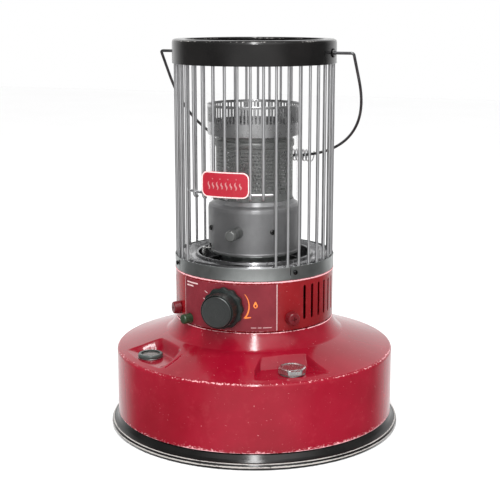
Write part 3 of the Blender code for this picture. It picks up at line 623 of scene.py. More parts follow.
def black_enamel():
    """Black enamel of the tray and top ring: painted highlight lines along the tray's rim, chips at the
    ring's top edge.
    """
    paint = Paint("black_enamel", Specular_IOR_Level=0.46)
    base = paint.tint(
        paint.spread(paint.noise(14, 4, 0.6), 0.35, 0.65), (0.004, 0.0038, 0.0038), (0.010, 0.0092, 0.009)
    )
    rough = paint.spread(paint.noise(45, 5, 0.65), 0.3, 0.75, 0.13, 0.22)
    height, reach = paint.axis("Z"), paint.reach()
    # Painted highlight: two pale lines on the tray's rolled bead stand in for its highlights, drawn with the
    # chip pattern so they read as nearly continuous
    low_rim_highlight = paint.near(reach, 0.2047, 0.0005)
    high_rim_highlight = paint.math(
        "MULTIPLY", paint.near(height, 0.0081, 0.0006), paint.math("GREATER_THAN", reach, 0.2015)
    )
    rim = paint.math("MULTIPLY", paint.math("MAXIMUM", low_rim_highlight, high_rim_highlight), 3.0)
    top = paint.math("MULTIPLY", paint.near(height, 0.5372, 0.0012), 0.9)
    lines = paint.math("MAXIMUM", rim, top)
    grain = paint.noise(520, 5, 0.62)
    cluster = paint.spread(paint.noise(24, 2, 0.5), 0.42, 0.62, 0.5, 1.0)
    worn = paint.math("ADD", grain, paint.math("MULTIPLY", paint.math("MULTIPLY", lines, cluster), 0.3))
    chip = paint.spread(worn, 0.74, 0.80)
    # This pale grey is a painted highlight on the tray's rim and worn paint at the ring's top edge
    paint.set("Base Color", paint.tint(chip, base, (0.42, 0.40, 0.38)))
    paint.set("Roughness", paint.math("ADD", rough, paint.math("MULTIPLY", chip, 0.25)))
    paint.bump(paint.noise(300, 2, 0.4), 0.00004, 0.3)
    paint.bump(paint.noise(26, 2, 0.4), 0.0005, 0.2)
    return paint.mat


def maroon_panel():
    """Control panel, chipped along its upper and lower edges."""
    paint = Paint("maroon_panel", Specular_IOR_Level=0.3)
    base = paint.tint(
        paint.spread(paint.noise(30, 5, 0.65), 0.35, 0.7), (0.15, 0.012, 0.02), (0.20, 0.018, 0.028)
    )
    edge_up = paint.near(paint.axis("Z"), 0.2218, 0.0016)
    edge_down = paint.near(paint.axis("Z"), 0.1586, 0.0016)
    grain = paint.noise(420, 5, 0.62)
    worn = paint.math("ADD", grain, paint.math("MULTIPLY", paint.math("MAXIMUM", edge_up, edge_down), 0.2))
    chip = paint.spread(worn, 0.76, 0.80)
    paint.set("Base Color", paint.tint(chip, base, (0.5, 0.25, 0.25)))
    paint.set("Roughness", paint.spread(paint.noise(60, 5, 0.6), 0.3, 0.7, 0.30, 0.42))
    paint.bump(paint.noise(350, 2, 0.4), 0.00003, 0.3)
    return paint.mat


def knob_metal():
    """Brushed disc: rings round the local Z axis."""
    paint = Paint("knob_metal", metallic=1.0)
    rings = paint.nodes.new("ShaderNodeTexNoise")
    rings.noise_dimensions = "1D"
    rings.inputs["Scale"].default_value = 2600.0
    rings.inputs["Detail"].default_value = 4.0
    paint.links.new(paint.reach(), rings.inputs["W"])
    marks = rings.outputs["Fac"]
    base = paint.tint(paint.spread(marks, 0.3, 0.7), (0.10, 0.108, 0.107), (0.19, 0.2, 0.197))
    scratch = paint.spread(paint.noise(800, 3, 0.6, (1, 0.05, 1)), 0.66, 0.72)
    paint.set("Base Color", paint.tint(paint.math("MULTIPLY", scratch, 0.5), base, (0.3, 0.3, 0.3)))
    paint.set("Roughness", paint.spread(paint.noise(120, 4, 0.6), 0.3, 0.7, 0.33, 0.48))
    paint.bump(marks, 0.00003, 0.5)
    return paint.mat


def cotton():
    """Woven wick: rows of threads round and up the tube."""
    paint = Paint("wick_cotton", roughness=0.95, Sheen_Weight=0.3)
    up = paint.math("SINE", paint.math("MULTIPLY", paint.axis("Z"), 5200.0))
    side = paint.math("SINE", paint.math("MULTIPLY", paint.turn(), 180.0))
    weave = paint.math("MULTIPLY", up, side)
    soot = paint.spread(paint.axis("Z"), 0.236, 0.247)
    base = paint.tint(paint.spread(weave, -1.0, 1.0), (0.5, 0.46, 0.38), (0.78, 0.75, 0.67))
    paint.set("Base Color", paint.tint(soot, base, (0.03, 0.026, 0.022)))
    paint.bump(weave, 0.0003, 0.6)
    return paint.mat


def clear(name, tint_colour, roughness, face_alpha, edge_alpha):
    """Thin clear sheet with faint smears: nearly open where it faces the eye, shinier at its edges."""
    paint = Paint(name, roughness=roughness)
    facing = paint.nodes.new("ShaderNodeLayerWeight")
    facing.inputs["Blend"].default_value = 0.5
    paint.set("Alpha", paint.spread(facing.outputs["Facing"], 0.62, 1.0, face_alpha, edge_alpha))
    smear = paint.spread(paint.noise(25, 5, 0.65), 0.55, 0.8, 0.0, 0.25)
    paint.set("Base Color", paint.tint(smear, tint_colour, tuple(c * 0.9 for c in tint_colour)))
    paint.set("Roughness", paint.spread(paint.noise(40, 5, 0.65), 0.45, 0.8, roughness, roughness + 0.05))
    return paint.mat


def printed(name, colour, fade):
    """Printed ink with worn spots."""
    paint = Paint(name, roughness=0.45)
    paint.set("Base Color", paint.tint(paint.spread(paint.noise(500, 5, 0.65), 0.58, 0.66), colour, fade))
    return paint.mat


MATS = {
    "tank": red_enamel(
        "tank_enamel",
        [
            ("height", 0.1115, 0.0019, 0.84, ("radius", 0.1865, 0.2)),
            ("height", 0.1553, 0.0011, 2.4, ("radius", 0.1, 0.1125)),
            ("height", 0.0198, 0.0010, 1.3, None),
            ("height", 0.0215, 0.0040, 0.62, None),
        ],
        scatter=0.1,
    ),
    "drum": red_enamel(
        "drum_enamel", [("height", 0.2245, 0.0017, 3.4, None), ("height", 0.1574, 0.001, 1.0, None)],
        (0.25, 0.005, 0.009), (0.19, 0.004, 0.007), 0.1, 0.2
    ),
    "badge": red_enamel("badge_enamel", (), (0.36, 0.008, 0.024), (0.31, 0.007, 0.018), gloss=0.3),
    "red_plastic": plastic("red_plastic", (0.15, 0.006, 0.011), (0.10, 0.005, 0.009), 0.3),
    "black": black_enamel(),
    "panel": maroon_panel(),
    "wire": steel(
        "bright_wire", (0.84, 0.84, 0.85), (0.76, 0.76, 0.77), 0.34, brush=(1, 1, 0.04), scale=30,
        spots=0.0, bump=0.000004, metallic=1.0, drift=0.15
    ),
    "galvanised": steel(
        "galvanised_steel", (0.54, 0.56, 0.55), (0.38, 0.40, 0.395), 0.36, brush=(1, 1, 8), scale=26,
        spots=0.03
    ),
    "burner": steel(
        "burner_steel", (0.34, 0.34, 0.345), (0.24, 0.24, 0.245), 0.42, brush=(1, 1, 5), scale=18,
        spots=0.03, bump=0.00005, metallic=0.85
    ),
    "crown": steel(
        "crown_steel", (0.74, 0.74, 0.745), (0.56, 0.56, 0.565), 0.27, brush=(1, 1, 5), scale=30,
        spots=0.02, bump=0.00002, metallic=1.0, drift=0.5
    ),
    "tube": steel(
        "tube_steel", (0.22, 0.225, 0.22), (0.15, 0.155, 0.15), 0.38, brush=(1, 1, 5), scale=18, spots=0.02,
        bump=0.00004, metallic=0.75
    ),
    "pan": steel(
        "reflector_steel", (0.34, 0.34, 0.345), (0.16, 0.16, 0.165), 0.17, brush=(1, 1, 1), scale=22,
        spots=0.05, bump=0.00002, metallic=1.0
    ),
    "knob": plastic("knob_plastic", (0.013, 0.018, 0.017), (0.007, 0.010, 0.009), 0.36, gloss=0.32),
    "knob_face": knob_metal(),
    "green": plastic("green_plastic", (0.03, 0.062, 0.026), (0.008, 0.02, 0.009), 0.36, 300, 0.0001),
    "bright": steel("bright_metal", (0.72, 0.72, 0.70), (0.5, 0.5, 0.49), 0.2, scale=60),
    "cap": steel(
        "cap_metal", (0.74, 0.74, 0.73), (0.56, 0.56, 0.55), 0.2, scale=70, spots=0.02, bump=0.00003,
        metallic=0.95
    ),
    "brass": steel("brass", (0.62, 0.46, 0.19), (0.42, 0.30, 0.11), 0.34, scale=50),
    "rubber": plastic("rubber", (0.022, 0.022, 0.022), (0.012, 0.012, 0.012), 0.8),
    "cotton": cotton(),
    "float": plastic("float_plastic", (0.62, 0.56, 0.42), (0.5, 0.45, 0.33), 0.6),
    "gauge": plastic("gauge_plastic", (0.055, 0.07, 0.065), (0.03, 0.04, 0.037), 0.3),
    "dial": plastic("dial_white", (0.62, 0.62, 0.58), (0.5, 0.5, 0.46), 0.5),
    "needle": plastic("needle_red", (0.5, 0.03, 0.02), (0.4, 0.02, 0.015), 0.4),
    "lens": clear("lens", (0.24, 0.22, 0.21), 0.06, 0.45, 0.6),
    "glass": clear("chimney_glass", (0.70, 0.71, 0.71), 0.03, 0.014, 0.30),
    "bail": steel(
        "dark_wire", (0.22, 0.22, 0.225), (0.09, 0.09, 0.095), 0.32, scale=60, spots=0.05, bump=0.00004,
        metallic=0.9
    ),
    "dark_screw": steel(
        "dark_screw", (0.05, 0.05, 0.05), (0.012, 0.012, 0.013), 0.35, scale=90, spots=0.04
    ),
    "pale_print": printed("pale_print", (0.62, 0.42, 0.42), (0.3, 0.04, 0.05)),
    "orange_print": printed("orange_print", (0.85, 0.22, 0.03), (0.4, 0.05, 0.03)),
    "badge_print": printed("badge_print", (0.78, 0.56, 0.55), (0.5, 0.16, 0.16)),
    "badge_waves": printed("badge_waves", (0.44, 0.17, 0.17), (0.36, 0.07, 0.08)),
}


# ---------------------------------------------------------------- tray and tank

TANK_FLOOR_Z = 115.0
POCKET_AZ = 38.0
POCKET_CENTRE = 165.0
FLOAT_EAR_DIRECTION = (0.9404, -0.34)    # (y, x) of the ear's width, seen from above
FLOAT_EAR_Z = 94
# Half-widths of a pocket against the distance from the heater's axis: its front side, and its rear side
POCKET_FRONT_SIDE = [(134, 30), (137, 34), (156, 47), (176, 53), (192, 57)]
POCKET_REAR_SIDE = [(134, 28), (149, 34), (160, 38), (175, 46), (192, 54)]
# Curved line pressed beside the gauge, in the pocket's own plane: u away from the heater's axis, w across
GROOVE_CENTRE = (207.0, -103.0)
GROOVE_R = 163.4
GROOVE_ARC = (102.8, 113.6)
GROOVE_DEPTH = 1.7
GROOVE_HALF_WIDTH = 0.8


def tray():
    """Drip tray: a dish with a raised bead and a rolled rim."""
    outline = [
        (0, 6.5), (185, 6.5), (189.5, 16.6), (191.5, 18.2), (193.5, 17.4), (196.6, 11.4), (199.8, 8.6),
        (203.0, 8.2)
    ]
    outline += [
        (204.9, 4.3), (203.0, 0), (199.0, 0), (197.0, 7.4), (192.6, 14.6), (190.8, 15.4), (186.2, 5.0),
        (0, 5.0)
    ]
    piece(
        build("tray", lathe(soften(outline, 2.2, 4), 224)), MATS["black"], "heater", "black_enamel",
        "drip_tray"
    )


def pocket_depth(u, w, side):
    """How far a point of the deck is inside a pocket, 0 to 1. side is +1 where the pocket is on the right."""
    toward_front = -w * side
    reach = between(POCKET_FRONT_SIDE, u) if toward_front > 0 else between(POCKET_REAR_SIDE, u)
    if side < 0:
        return smoothstep((u - 133.0) / 10.5) * smoothstep((reach + 1.0 - abs(w)) / 8.0)
    return min(1.0, max(0.0, min((u - 134.0) / 7.5, (reach + 1.5 - abs(w)) / 3.2)))


def groove_depth(u, w):
    """Depth of the groove at a point: full on its arc, fading to either side and round its ends."""
    du, dw = u - GROOVE_CENTRE[0], w - GROOVE_CENTRE[1]
    first, last = GROOVE_ARC
    angle = math.radians(min(last, max(first, math.degrees(math.atan2(dw, du)))))
    away = math.hypot(du - GROOVE_R * math.cos(angle), dw - GROOVE_R * math.sin(angle))
    return GROOVE_DEPTH * math.exp(-((away / GROOVE_HALF_WIDTH) ** 2))


def tank():
    """Tank shell: wall, shoulder, deck with two pockets, and the flare up to the drum."""
    wall = [(195.0, z) for z in (19.5, 20.3, 22, 26, 34, 46, 58, 70, 82, 94, 101, 105)]
    shoulder = bulge((195.0, 107.0), (190.5, 113.0), -1.7, 9)
    steps = 112
    deck = [
        (190.5 + (124.8 - 190.5) * i / steps, 113.0 + (134.4 - 113.0) * i / steps) for i in range(1, steps)
    ]
    flare = bulge((124.8, 134.4), (110.4, 155.1), 1.9, 22) + [(110.15, 155.4), (109.75, 155.55)]
    profile = wall + shoulder + deck + flare
    first = len(wall)
    for _ in range(2):
        smooth = list(profile)
        for i in range(first, len(profile) - 3):
            smooth[i] = tuple(
                (profile[i - 1][k] + 2 * profile[i][k] + profile[i + 1][k]) / 4 for k in (0, 1)
            )
        profile = smooth

    azimuths = []
    azimuth = -180.0
    while azimuth < 180.0 - 1e-6:
        azimuths.append(azimuth)
        azimuth += 0.25 if 14.0 <= abs(azimuth + 1e-6) < 62.0 else 2.0
    back = offset_line(profile, 1.2)
    verts, offsets, faces = [], [], []
    columns = len(azimuths)
    for i, (radius, height) in enumerate(profile):
        for azimuth in azimuths:
            drop = 0.0
            side = 1 if azimuth > 0 else -1
            if 126 < radius < 190 and 14 <= abs(azimuth) <= 62:
                turn = math.radians(azimuth - side * POCKET_AZ)
                u, w = radius * math.cos(turn), radius * math.sin(turn)
                drop = max(0.0, height - TANK_FLOOR_Z) * pocket_depth(u, w, side)
                if side < 0 and 136 < u < 176:
                    drop += groove_depth(u, w)
            point = around(radius, azimuth, height - drop)
            inner = around(back[i][0], azimuth, back[i][1] - drop)
            verts.append(point)
            offsets.append(tuple(b - a for a, b in zip(point, inner)))
    centres = [Vector(around(POCKET_CENTRE, s * POCKET_AZ, 0)).xy for s in (-1, 1)]
    for i in range(len(profile) - 1):
        middle = (profile[i][0] + profile[i + 1][0]) / 2
        near = abs(middle - POCKET_CENTRE) < 16
        for j in range(columns):
            k = (j + 1) % columns
            if near:
                here = Vector(around(middle, azimuths[j] + 0.125, 0)).xy
                if min((here - c).length for c in centres) < 14.6:
                    continue
            faces.append((i * columns + j, i * columns + k, (i + 1) * columns + k, (i + 1) * columns + j))
    piece(
        build("tank", thicken(verts, faces, offsets), angle=50), MATS["tank"], "heater", "red_enamel",
        "tank_shell"
    )
    plate = soften([(46.2, 145.8), (109.2, 145.8), (109.2, 147.0), (46.2, 147.0)], 0.3, 2)
    piece(build("tank_top_plate", lathe(plate, 120)), MATS["drum"], "heater", "red_enamel")


def filler():
    """Neck, gasket and hexagonal cap in the right-hand pocket."""
    place = at(*around(POCKET_CENTRE, POCKET_AZ, 0))
    neck = [
        (12.2, 104), (13.7, 104), (13.7, 115.4), (17.2, 115.4), (17.2, 116.3), (13.7, 116.3), (13.7, 119.4),
        (12.2, 119.4)
    ]
    piece(
        build("neck", lathe(soften(neck, 0.4, 3), 64), place), MATS["galvanised"], "heater", "galvanised",
        "filler_neck"
    )
    gasket = [(12.4, 119.8), (13.9, 119.8), (13.9, 121.1), (12.4, 121.1)]
    piece(
        build("gasket", lathe(soften(gasket, 0.4, 3), 48), place), MATS["rubber"], "cap", "rubber",
        "cap_gasket"
    )

    outline = soften(
        [
            (0, 4.7), (14.2, 4.7), (14.2, 0), (19.0, 0), (19.0, 5.6), (18.3, 7.3), (15.4, 8.1), (13.2, 6.9),
            (0, 6.3)
        ],
        0.7, 4
    )

    def hexagon(index, angle):
        radius, height = outline[index]
        if radius < 14.8:
            return 1.0
        across = (angle + 1e-9) % math.radians(60) - math.radians(30)
        flat = math.cos(math.radians(30)) / max(math.cos(across), 0.885)
        share = smoothstep((8.1 - height) / 2.2) if height > 5.9 else 1.0
        return 1.0 + (flat - 1.0) * share

    place = at(*around(POCKET_CENTRE, POCKET_AZ, 116.8)) @ Matrix.Rotation(math.radians(34), 4, "Z")
    piece(
        build("cap_hexagon", lathe(outline, 192, hexagon), place, 28), MATS["cap"], "cap", "cap_metal",
        "filler_cap"
    )


def gauge():
    """Fuel gauge in the left-hand pocket, with the ear that carries the float."""
    place = at(*around(POCKET_CENTRE, -POCKET_AZ, 0))
    cup = soften(
        [
            (0, 101), (13.7, 101), (13.7, 115.4), (17.0, 115.4), (17.0, 116.4), (12.7, 116.4),
            (12.7, 102.2), (0, 102.2)
        ],
        0.4, 3
    )
    heading = math.atan2(*FLOAT_EAR_DIRECTION)
    tongue = prism(soften([(-5, 88), (5, 88), (5, 101.6), (-5, 101.6)], 2.0), -1.5, 1.5, "xzy")
    shape = Shape(lathe(cup, 64)).add(tongue, Matrix.Rotation(heading, 4, "Z"))
    pivot = place @ Matrix.Rotation(heading, 4, "Z") @ at(0, 0, FLOAT_EAR_Z)
    pivot = pivot @ Matrix.Rotation(math.pi / 2, 4, "X")
    housing = drill(build("gauge_cup", shape, place), pin(1.8, -4, 4, pivot))
    piece(housing, MATS["galvanised"], "heater", "galvanised", "gauge_housing")
    dial = soften([(1.5, 112), (12.2, 112), (12.2, 112.8), (1.5, 112.8)], 0.2, 2)
    piece(build("dial_plate", lathe(dial, 64), place), MATS["dial"], "heater", "dial_white", "gauge_dial")
    lens = soften([(0, 117.2), (13.0, 117.2), (13.0, 118.8), (9.0, 119.3), (0, 119.5)], 0.5, 4)
    piece(build("gauge_glass", lathe(lens, 64), place), MATS["lens"], "heater", "lens", "gauge_lens")
    ring = soften(
        [
            (13.4, 116.8), (16.7, 116.8), (16.7, 119.8), (15.7, 121.2), (12.5, 121.2), (12.5, 120.2),
            (13.4, 119.6)
        ],
        0.7, 4
    )
    piece(
        build("gauge_ring", lathe(ring, 80), place), MATS["gauge"], "heater", "gauge_plastic", "gauge_bezel"
    )
    marks = Shape()
    for i in range(7):
        angle = math.radians(150 - 15 * i)
        tick = prism([(8.6, -0.25), (11.2, -0.25), (11.2, 0.25), (8.6, 0.25)], 112.8, 112.92)
        marks.add(tick, Matrix.Rotation(angle, 4, "Z"))
    piece(build("dial_marks", marks, place), MATS["dark_screw"], "heater", "dial_white")
    pointer = prism(soften([(-2.5, -0.9), (10.5, -0.3), (10.5, 0.3), (-2.5, 0.9)], 0.3), 113.4, 114.2)
    place = place @ Matrix.Rotation(math.radians(150), 4, "Z")
    hand = Shape(pointer, prism(disc(1.0, 20), 104.0, 113.8))
    piece(build("pointer", hand, place), MATS["needle"], "needle", "needle_red", "gauge_needle")


# ---------------------------------------------------------------- control drum

DRUM_R = 110.6
SLOT_AZ = [side * (58.4 + 7.3 * i) for side in (-1, 1) for i in range(6)]
SLOT_ENDS = (169.0, 216.6)
KNOB_Z = 190
PANEL_Z = 190.2
PANEL_R = 111.0
PRINT_R = 111.56
PRINT_DEPTH = 0.12
BUTTON_AZ, BUTTON_Z = -31, 165.5
STUD_AZ, STUD_Z = 47, 174


def even_azimuths(special, step=2.0):
    """Azimuths round the whole drum: the special ones, and others about step apart in the gaps."""
    special = sorted(special)
    out = []
    for i, start in enumerate(special):
        end = special[i + 1] if i + 1 < len(special) else special[0] + 360
        parts = max(1, round((end - start) / step))
        out += [start + (end - start) * k / parts for k in range(parts)]
    return out


def drum():
    """Control drum with its side slots, and the panel on its front."""
    half = 2.3
    ring = [-half, -half * 0.72, 0.0, half * 0.72, half]
    special = [azimuth + math.degrees(x / DRUM_R) for azimuth in SLOT_AZ for x in ring]
    azimuths = even_azimuths(special)
    low, high = SLOT_ENDS
    line = [
        (107.8, 147.4), (107.8, 155.6), (108.2, 156.6), (109.9, 157.0), (110.5, 157.6), (DRUM_R, 158.6),
        (DRUM_R, 163.0)
    ]
    line += [
        (DRUM_R, low + half), (DRUM_R, 181.0), (DRUM_R, 193.0), (DRUM_R, 205.0), (DRUM_R, high - half),
        (DRUM_R, 219.0)
    ]
    line += [
        (DRUM_R, 222.4), (110.75, 223.2), (111.3, 223.8), (111.5, 224.4), (111.2, 225.1), (110.4, 225.3),
        (106.0, 225.3), (103.0, 225.3)
    ]
    first, last = line.index((DRUM_R, low + half)), line.index((DRUM_R, high - half))

    def from_slot(azimuth):
        return min(((azimuth - s + 180) % 360 - 180 for s in SLOT_AZ), key=abs)

    def shift(i, j):
        across = math.radians(from_slot(azimuths[j])) * DRUM_R
        if i in (first, last) and abs(across) < half + 0.01:
            rise = math.sqrt(max(0.0, half * half - across * across))
            return (0, 0, rise if i == last else -rise)
        return (0, 0, 0)

    def hole(i, j):
        if not first <= i < last:
            return False
        nearest = azimuths[j] + 0.2
        return 0 < math.radians(from_slot(nearest)) * DRUM_R + half < 2 * half

    obj = build("drum", turned_sheet(line, azimuths, 1.0, hole, shift), angle=40)
    cutters = [
        pin(6.4, -8, 8, outward(DRUM_R, 0, KNOB_Z)), pin(7.3, -8, 8, outward(DRUM_R, BUTTON_AZ, BUTTON_Z))
    ]
    cutters += [pin(2.6, -8, 8, outward(DRUM_R, azimuth, STUD_Z)) for azimuth in (-STUD_AZ, STUD_AZ)]
    piece(drill(obj, *cutters, angle=40), MATS["drum"], "heater", "red_enamel", "control_drum")

    half_width = math.radians(36.9) * PANEL_R
    plate = flat_shape([rounded_rectangle(half_width, 31.8, 1.2, 3)], 0.0, 0.55)
    plate = build("panel", wrap(plate, PANEL_R, 0, PANEL_Z))
    cutters = [
        pin(6.4, -8, 8, outward(DRUM_R, 0, KNOB_Z)), pin(7.3, -8, 8, outward(DRUM_R, BUTTON_AZ, BUTTON_Z))
    ]
    piece(drill(plate, *cutters), MATS["panel"], "heater", "maroon_panel", "front_panel")
    border = Shape()
    for x, wide in ((-half_width + 0.5, 0.5), (half_width - 0.7, 1.0)):
        border.add(flat_shape([rounded_rectangle(wide / 2, 31.4, 0.2, 2, (x, 0))], 0.0, PRINT_DEPTH))
    ink("panel_border", border, "pale_print", PANEL_Z)


def ink(name, shape, mat, height=KNOB_Z):
    """Flat print laid on the panel."""
    printed_shape = wrap((shape.verts, shape.faces), PRINT_R, 0, height)
    piece(build(name, printed_shape), MATS[mat], "heater", "maroon_panel")


def panel_print():
    """Burning-height scale: an arc that widens towards a flame, and small ticks on the other side."""
    arc, widths = [], []
    for i in range(17):
        angle = math.radians(52 - 104 * i / 16)
        arc.append((18.0 + 15.5 * math.cos(angle), 3.0 + 20.5 * math.sin(angle)))
        widths.append(0.8 + 1.5 * i / 16)
    foot = [(26.4, -13.4), (36.0, -12.2)]
    flame = []
    for i in range(28):
        angle = FULL_TURN * i / 28
        height = math.sin(angle)
        width = 2.9 * math.cos(angle) * (1.0 if height < 0 else 1.0 - 0.55 * height)
        flame.append((42.0 + width, 4.0 + (3.6 if height < 0 else 5.6) * height))
    core = [
        (42.0 + 1.3 * math.cos(FULL_TURN * i / 14), 3.4 + 1.9 * math.sin(FULL_TURN * i / 14))
        for i in range(14)
    ]
    shape = Shape(
        flat_shape([stroke(arc, widths)], 0.0, PRINT_DEPTH),
        flat_shape([stroke(foot, [2.0, 1.4])], 0.0, PRINT_DEPTH)
    )
    shape.add(flat_shape([flame, core[::-1]], 0.0, PRINT_DEPTH))
    ink("burning_scale", shape, "orange_print")
    ticks = Shape()
    for angle, length in ((148, 5.0), (166, 3.6), (184, 5.0), (202, 3.6), (220, 5.0)):
        turn = math.radians(angle)
        inner, outer = 31.0, 31.0 + length
        points = [(r * math.cos(turn), r * math.sin(turn)) for r in (inner, outer)]
        ticks.add(flat_shape([stroke(points, [0.9, 0.9])], 0.0, PRINT_DEPTH))
    ink("scale_ticks", ticks, "pale_print")
    lines = Shape()
    strokes = [
        (-66.0, 26.4, 23.0, 0.95), (-66.0, 22.0, 14.0, 0.95), (36.0, -26.6, 7.0, 0.4),
        (45.0, -26.6, 5.0, 0.4), (52.0, -26.6, 12.0, 0.4)
    ]
    for start, height, length, half in strokes:
        lines.add(
            flat_shape(
                [rounded_rectangle(length / 2, half, half * 0.8, 3, (start + length / 2, height))], 0.0,
                PRINT_DEPTH
            )
        )
    ink("panel_lines", lines, "pale_print")


def cross_recess(size, depth, top, place):
    """Two cutters for a cross-head screw."""
    long, short = size, size * 0.2
    return [
        build("cutter", prism(rectangle(a, b), top - depth, top + 3.0), place)
        for a, b in ((long, short), (short, long))
    ]


def studs():
    """Red studs with a cross recess, left and right of the panel."""
    outline = soften([(0, 0), (9.0, 0), (8.7, 6.0), (8.4, 9.0), (7.2, 10.4), (0, 10.4)], 1.0, 5)
    for label, azimuth in (("left", -STUD_AZ), ("right", STUD_AZ)):
        place = outward(DRUM_R + 0.4, azimuth, STUD_Z)
        shape = Shape(lathe(outline, 56), lathe(soften([(0, -6), (2.1, -6), (2.1, 1), (0, 1)], 0.3, 2), 24))
        obj = build("stud_" + label, shape, place)
        drill(obj, *cross_recess(3.4, 1.8, 10.4, place))
        piece(obj, MATS["red_plastic"], "heater", "red_plastic", "drum_stud_" + label)


def knob():
    """Wick knob with a scalloped skirt and a brushed face."""
    place = outward(112.0, 0, KNOB_Z)
    outline = [
        (0, 20), (4.3, 20), (4.3, 0), (27.0, 0), (27.5, 2.0), (27.3, 7.4), (23.5, 8.5), (23.2, 10.0),
        (22.8, 27.0), (21.9, 28.2), (21.2, 26.8), (0, 26.8)
    ]
    rounded = soften(outline, 0.8, 4)

    def scallops(index, angle):
        radius = rounded[index][0]
        if radius > 25:
            return 1.0 + 0.034 * math.cos(12 * angle)
        if radius > 22.0:
            return 1.0 + 0.004 * math.cos(36 * angle)
        return 1.0

    piece(
        build("knob_body", lathe(rounded, 216, scallops), place), MATS["knob"], "knob", "knob_plastic",
        "control_knob"
    )
    face = [(0, 27.2), (20.8, 27.2), (20.8, 28.5), (20.2, 29.1), (18.7, 28.9), (0, 28.9)]
    piece(
        build("knob_disc", lathe(soften(face, 0.4, 3), 120), place), MATS["knob_face"], "knob",
        "knob_metal", "knob_face"
    )


def button():
    """Green push button, low at the left of the panel."""
    place = outward(DRUM_R + 0.4, BUTTON_AZ, BUTTON_Z)
    outline = soften(
        [(0, -9.0), (8.6, -9.0), (8.6, -7.6), (6.8, -7.4), (6.8, 11.4), (5.8, 13.3), (0, 13.7)], 1.0, 5
    )
    piece(
        build("push_button", lathe(outline, 56), place), MATS["green"], "button", "green_plastic",
        "ignition_button"
    )


# ---------------------------------------------------------------- guard

BAND_SCREW_AZ, BAND_SCREW_Z = 50, 235.95
GUARD_WIRE_R = 1.9
GUARD_R = 108.0
GUARD_PITCH = 9.0
CROSS_BAR_R = 104.6
BADGE_R, BADGE_Z = 110.4, 354.0

def band():
    """Steel band round the foot of the guard, in two halves, with its screws."""
    low, high = 225.8, 244.1
    line = [
        (110.45, low), (110.95, low + 0.1), (111.3, low + 0.7), (111.1, low + 1.6), (111.0, 234.0),
        (111.1, high - 1.8), (111.4, high - 0.8), (111.1, high - 0.1), (110.6, high)
    ]
    front = [-46.2 + 92.4 * i / 60 for i in range(61)]
    piece(
        build("band_front", turned_sheet(line, front, 0.6, closed=False), angle=50), MATS["galvanised"],
        "heater", "galvanised", "guard_band_front"
    )
    rear = [46.8 + 266.4 * i / 150 for i in range(151)]
    obj = build("band_rear", turned_sheet(line, rear, 0.6, closed=False), angle=50)
    cutters = [
        pin(1.9, -5, 5, outward(111.0, azimuth, BAND_SCREW_Z))
        for azimuth in (-BAND_SCREW_AZ, BAND_SCREW_AZ)
    ]
    piece(drill(obj, *cutters, angle=50), MATS["galvanised"], "heater", "galvanised", "guard_band_rear")
    outline = soften(
        [(0, -5.6), (1.4, -5.6), (1.4, 0.4), (3.3, 0.4), (3.1, 1.5), (2.0, 2.3), (0, 2.4)], 0.4, 3
    )
    for label, azimuth in (("left", -BAND_SCREW_AZ), ("right", BAND_SCREW_AZ)):
        place = outward(111.4, azimuth, BAND_SCREW_Z)
        obj = build("band_fixing_" + label, lathe(outline, 32), place)
        obj = drill(obj, *cross_recess(2.2, 1.0, 2.6, place))
        piece(obj, MATS["dark_screw"], "heater", "bright_wire", "band_screw_" + label)


def guard():
    """Cage of long wires, and the short front wires hooked over a cross bar."""
    shape = Shape()
    for i in range(33):
        azimuth = 36.0 + GUARD_PITCH * i
        shape.add(
            wire([around(GUARD_R, azimuth, 229.0 + 285.0 * k / 6) for k in range(7)], GUARD_WIRE_R, 12)
        )
    for low in (227.0, 512.0):
        shape.add(
            lathe(soften([(105.4, low), (110.0, low), (110.0, low + 4), (105.4, low + 4)], 0.8, 3), 160)
        )
    piece(build("guard_wires", shape), MATS["wire"], "heater", "bright_wire", "guard_cage")

    shape = Shape(
        wire([around(CROSS_BAR_R, 34.4 * (i / 12 - 1), 340.6) for i in range(25)], GUARD_WIRE_R, 12)
    )
    for i in range(-3, 4):
        path = [
            (GUARD_R, 511.6), (GUARD_R, 450.0), (GUARD_R, 390.0), (GUARD_R, 341.0), (107.9, 338.6),
            (107.3, 336.4), (106.2, 335.0), (104.6, 334.4), (103.0, 334.3), (101.6, 334.6)
        ]
        shape.add(
            wire([around(radius, GUARD_PITCH * i, height) for radius, height in path], GUARD_WIRE_R, 12)
        )
    piece(build("short_wires", shape), MATS["wire"], "heater", "bright_wire", "front_grille")


def name_plate():
    """Red plate with a pale border and a row of heat-wave strokes."""
    plate = flat_shape([rounded_rectangle(33.5, 17.0, 9.0, 10)], 0.0, 1.2)
    obj = build("plate", wrap(plate, BADGE_R, 0, BADGE_Z))
    piece(obj, MATS["badge"], "heater", "red_enamel", "badge")
    border = [rounded_rectangle(33.4, 16.9, 8.9, 10), rounded_rectangle(31.9, 15.4, 7.5, 10)[::-1]]
    rim = wrap(flat_shape(border, 1.2, 1.5), BADGE_R, 0, BADGE_Z)
    piece(build("plate_border", rim), MATS["badge_print"], "heater", "red_enamel")
    waves = Shape()
    for i in range(8):
        x = -22.0 + 44.0 * i / 7
        tall = 4.0 if i % 2 else 5.0
        points = [
            (x + 1.0 * math.sin(FULL_TURN * k / 12), -1.5 - tall + 2 * tall * k / 12) for k in range(13)
        ]
        widths = [1.0 + 1.1 * math.sin(math.pi * k / 12) for k in range(13)]
        waves.add(flat_shape([stroke(points, widths)], 1.2, 1.45))
    for i in range(4):
        x = -16.5 + 11.0 * i
        waves.add(flat_shape([disc(0.8, 14, (x, 7.6))], 1.2, 1.45))
    waves = wrap((waves.verts, waves.faces), BADGE_R, 0, BADGE_Z)
    piece(build("plate_waves", waves), MATS["badge_waves"], "heater", "red_enamel")


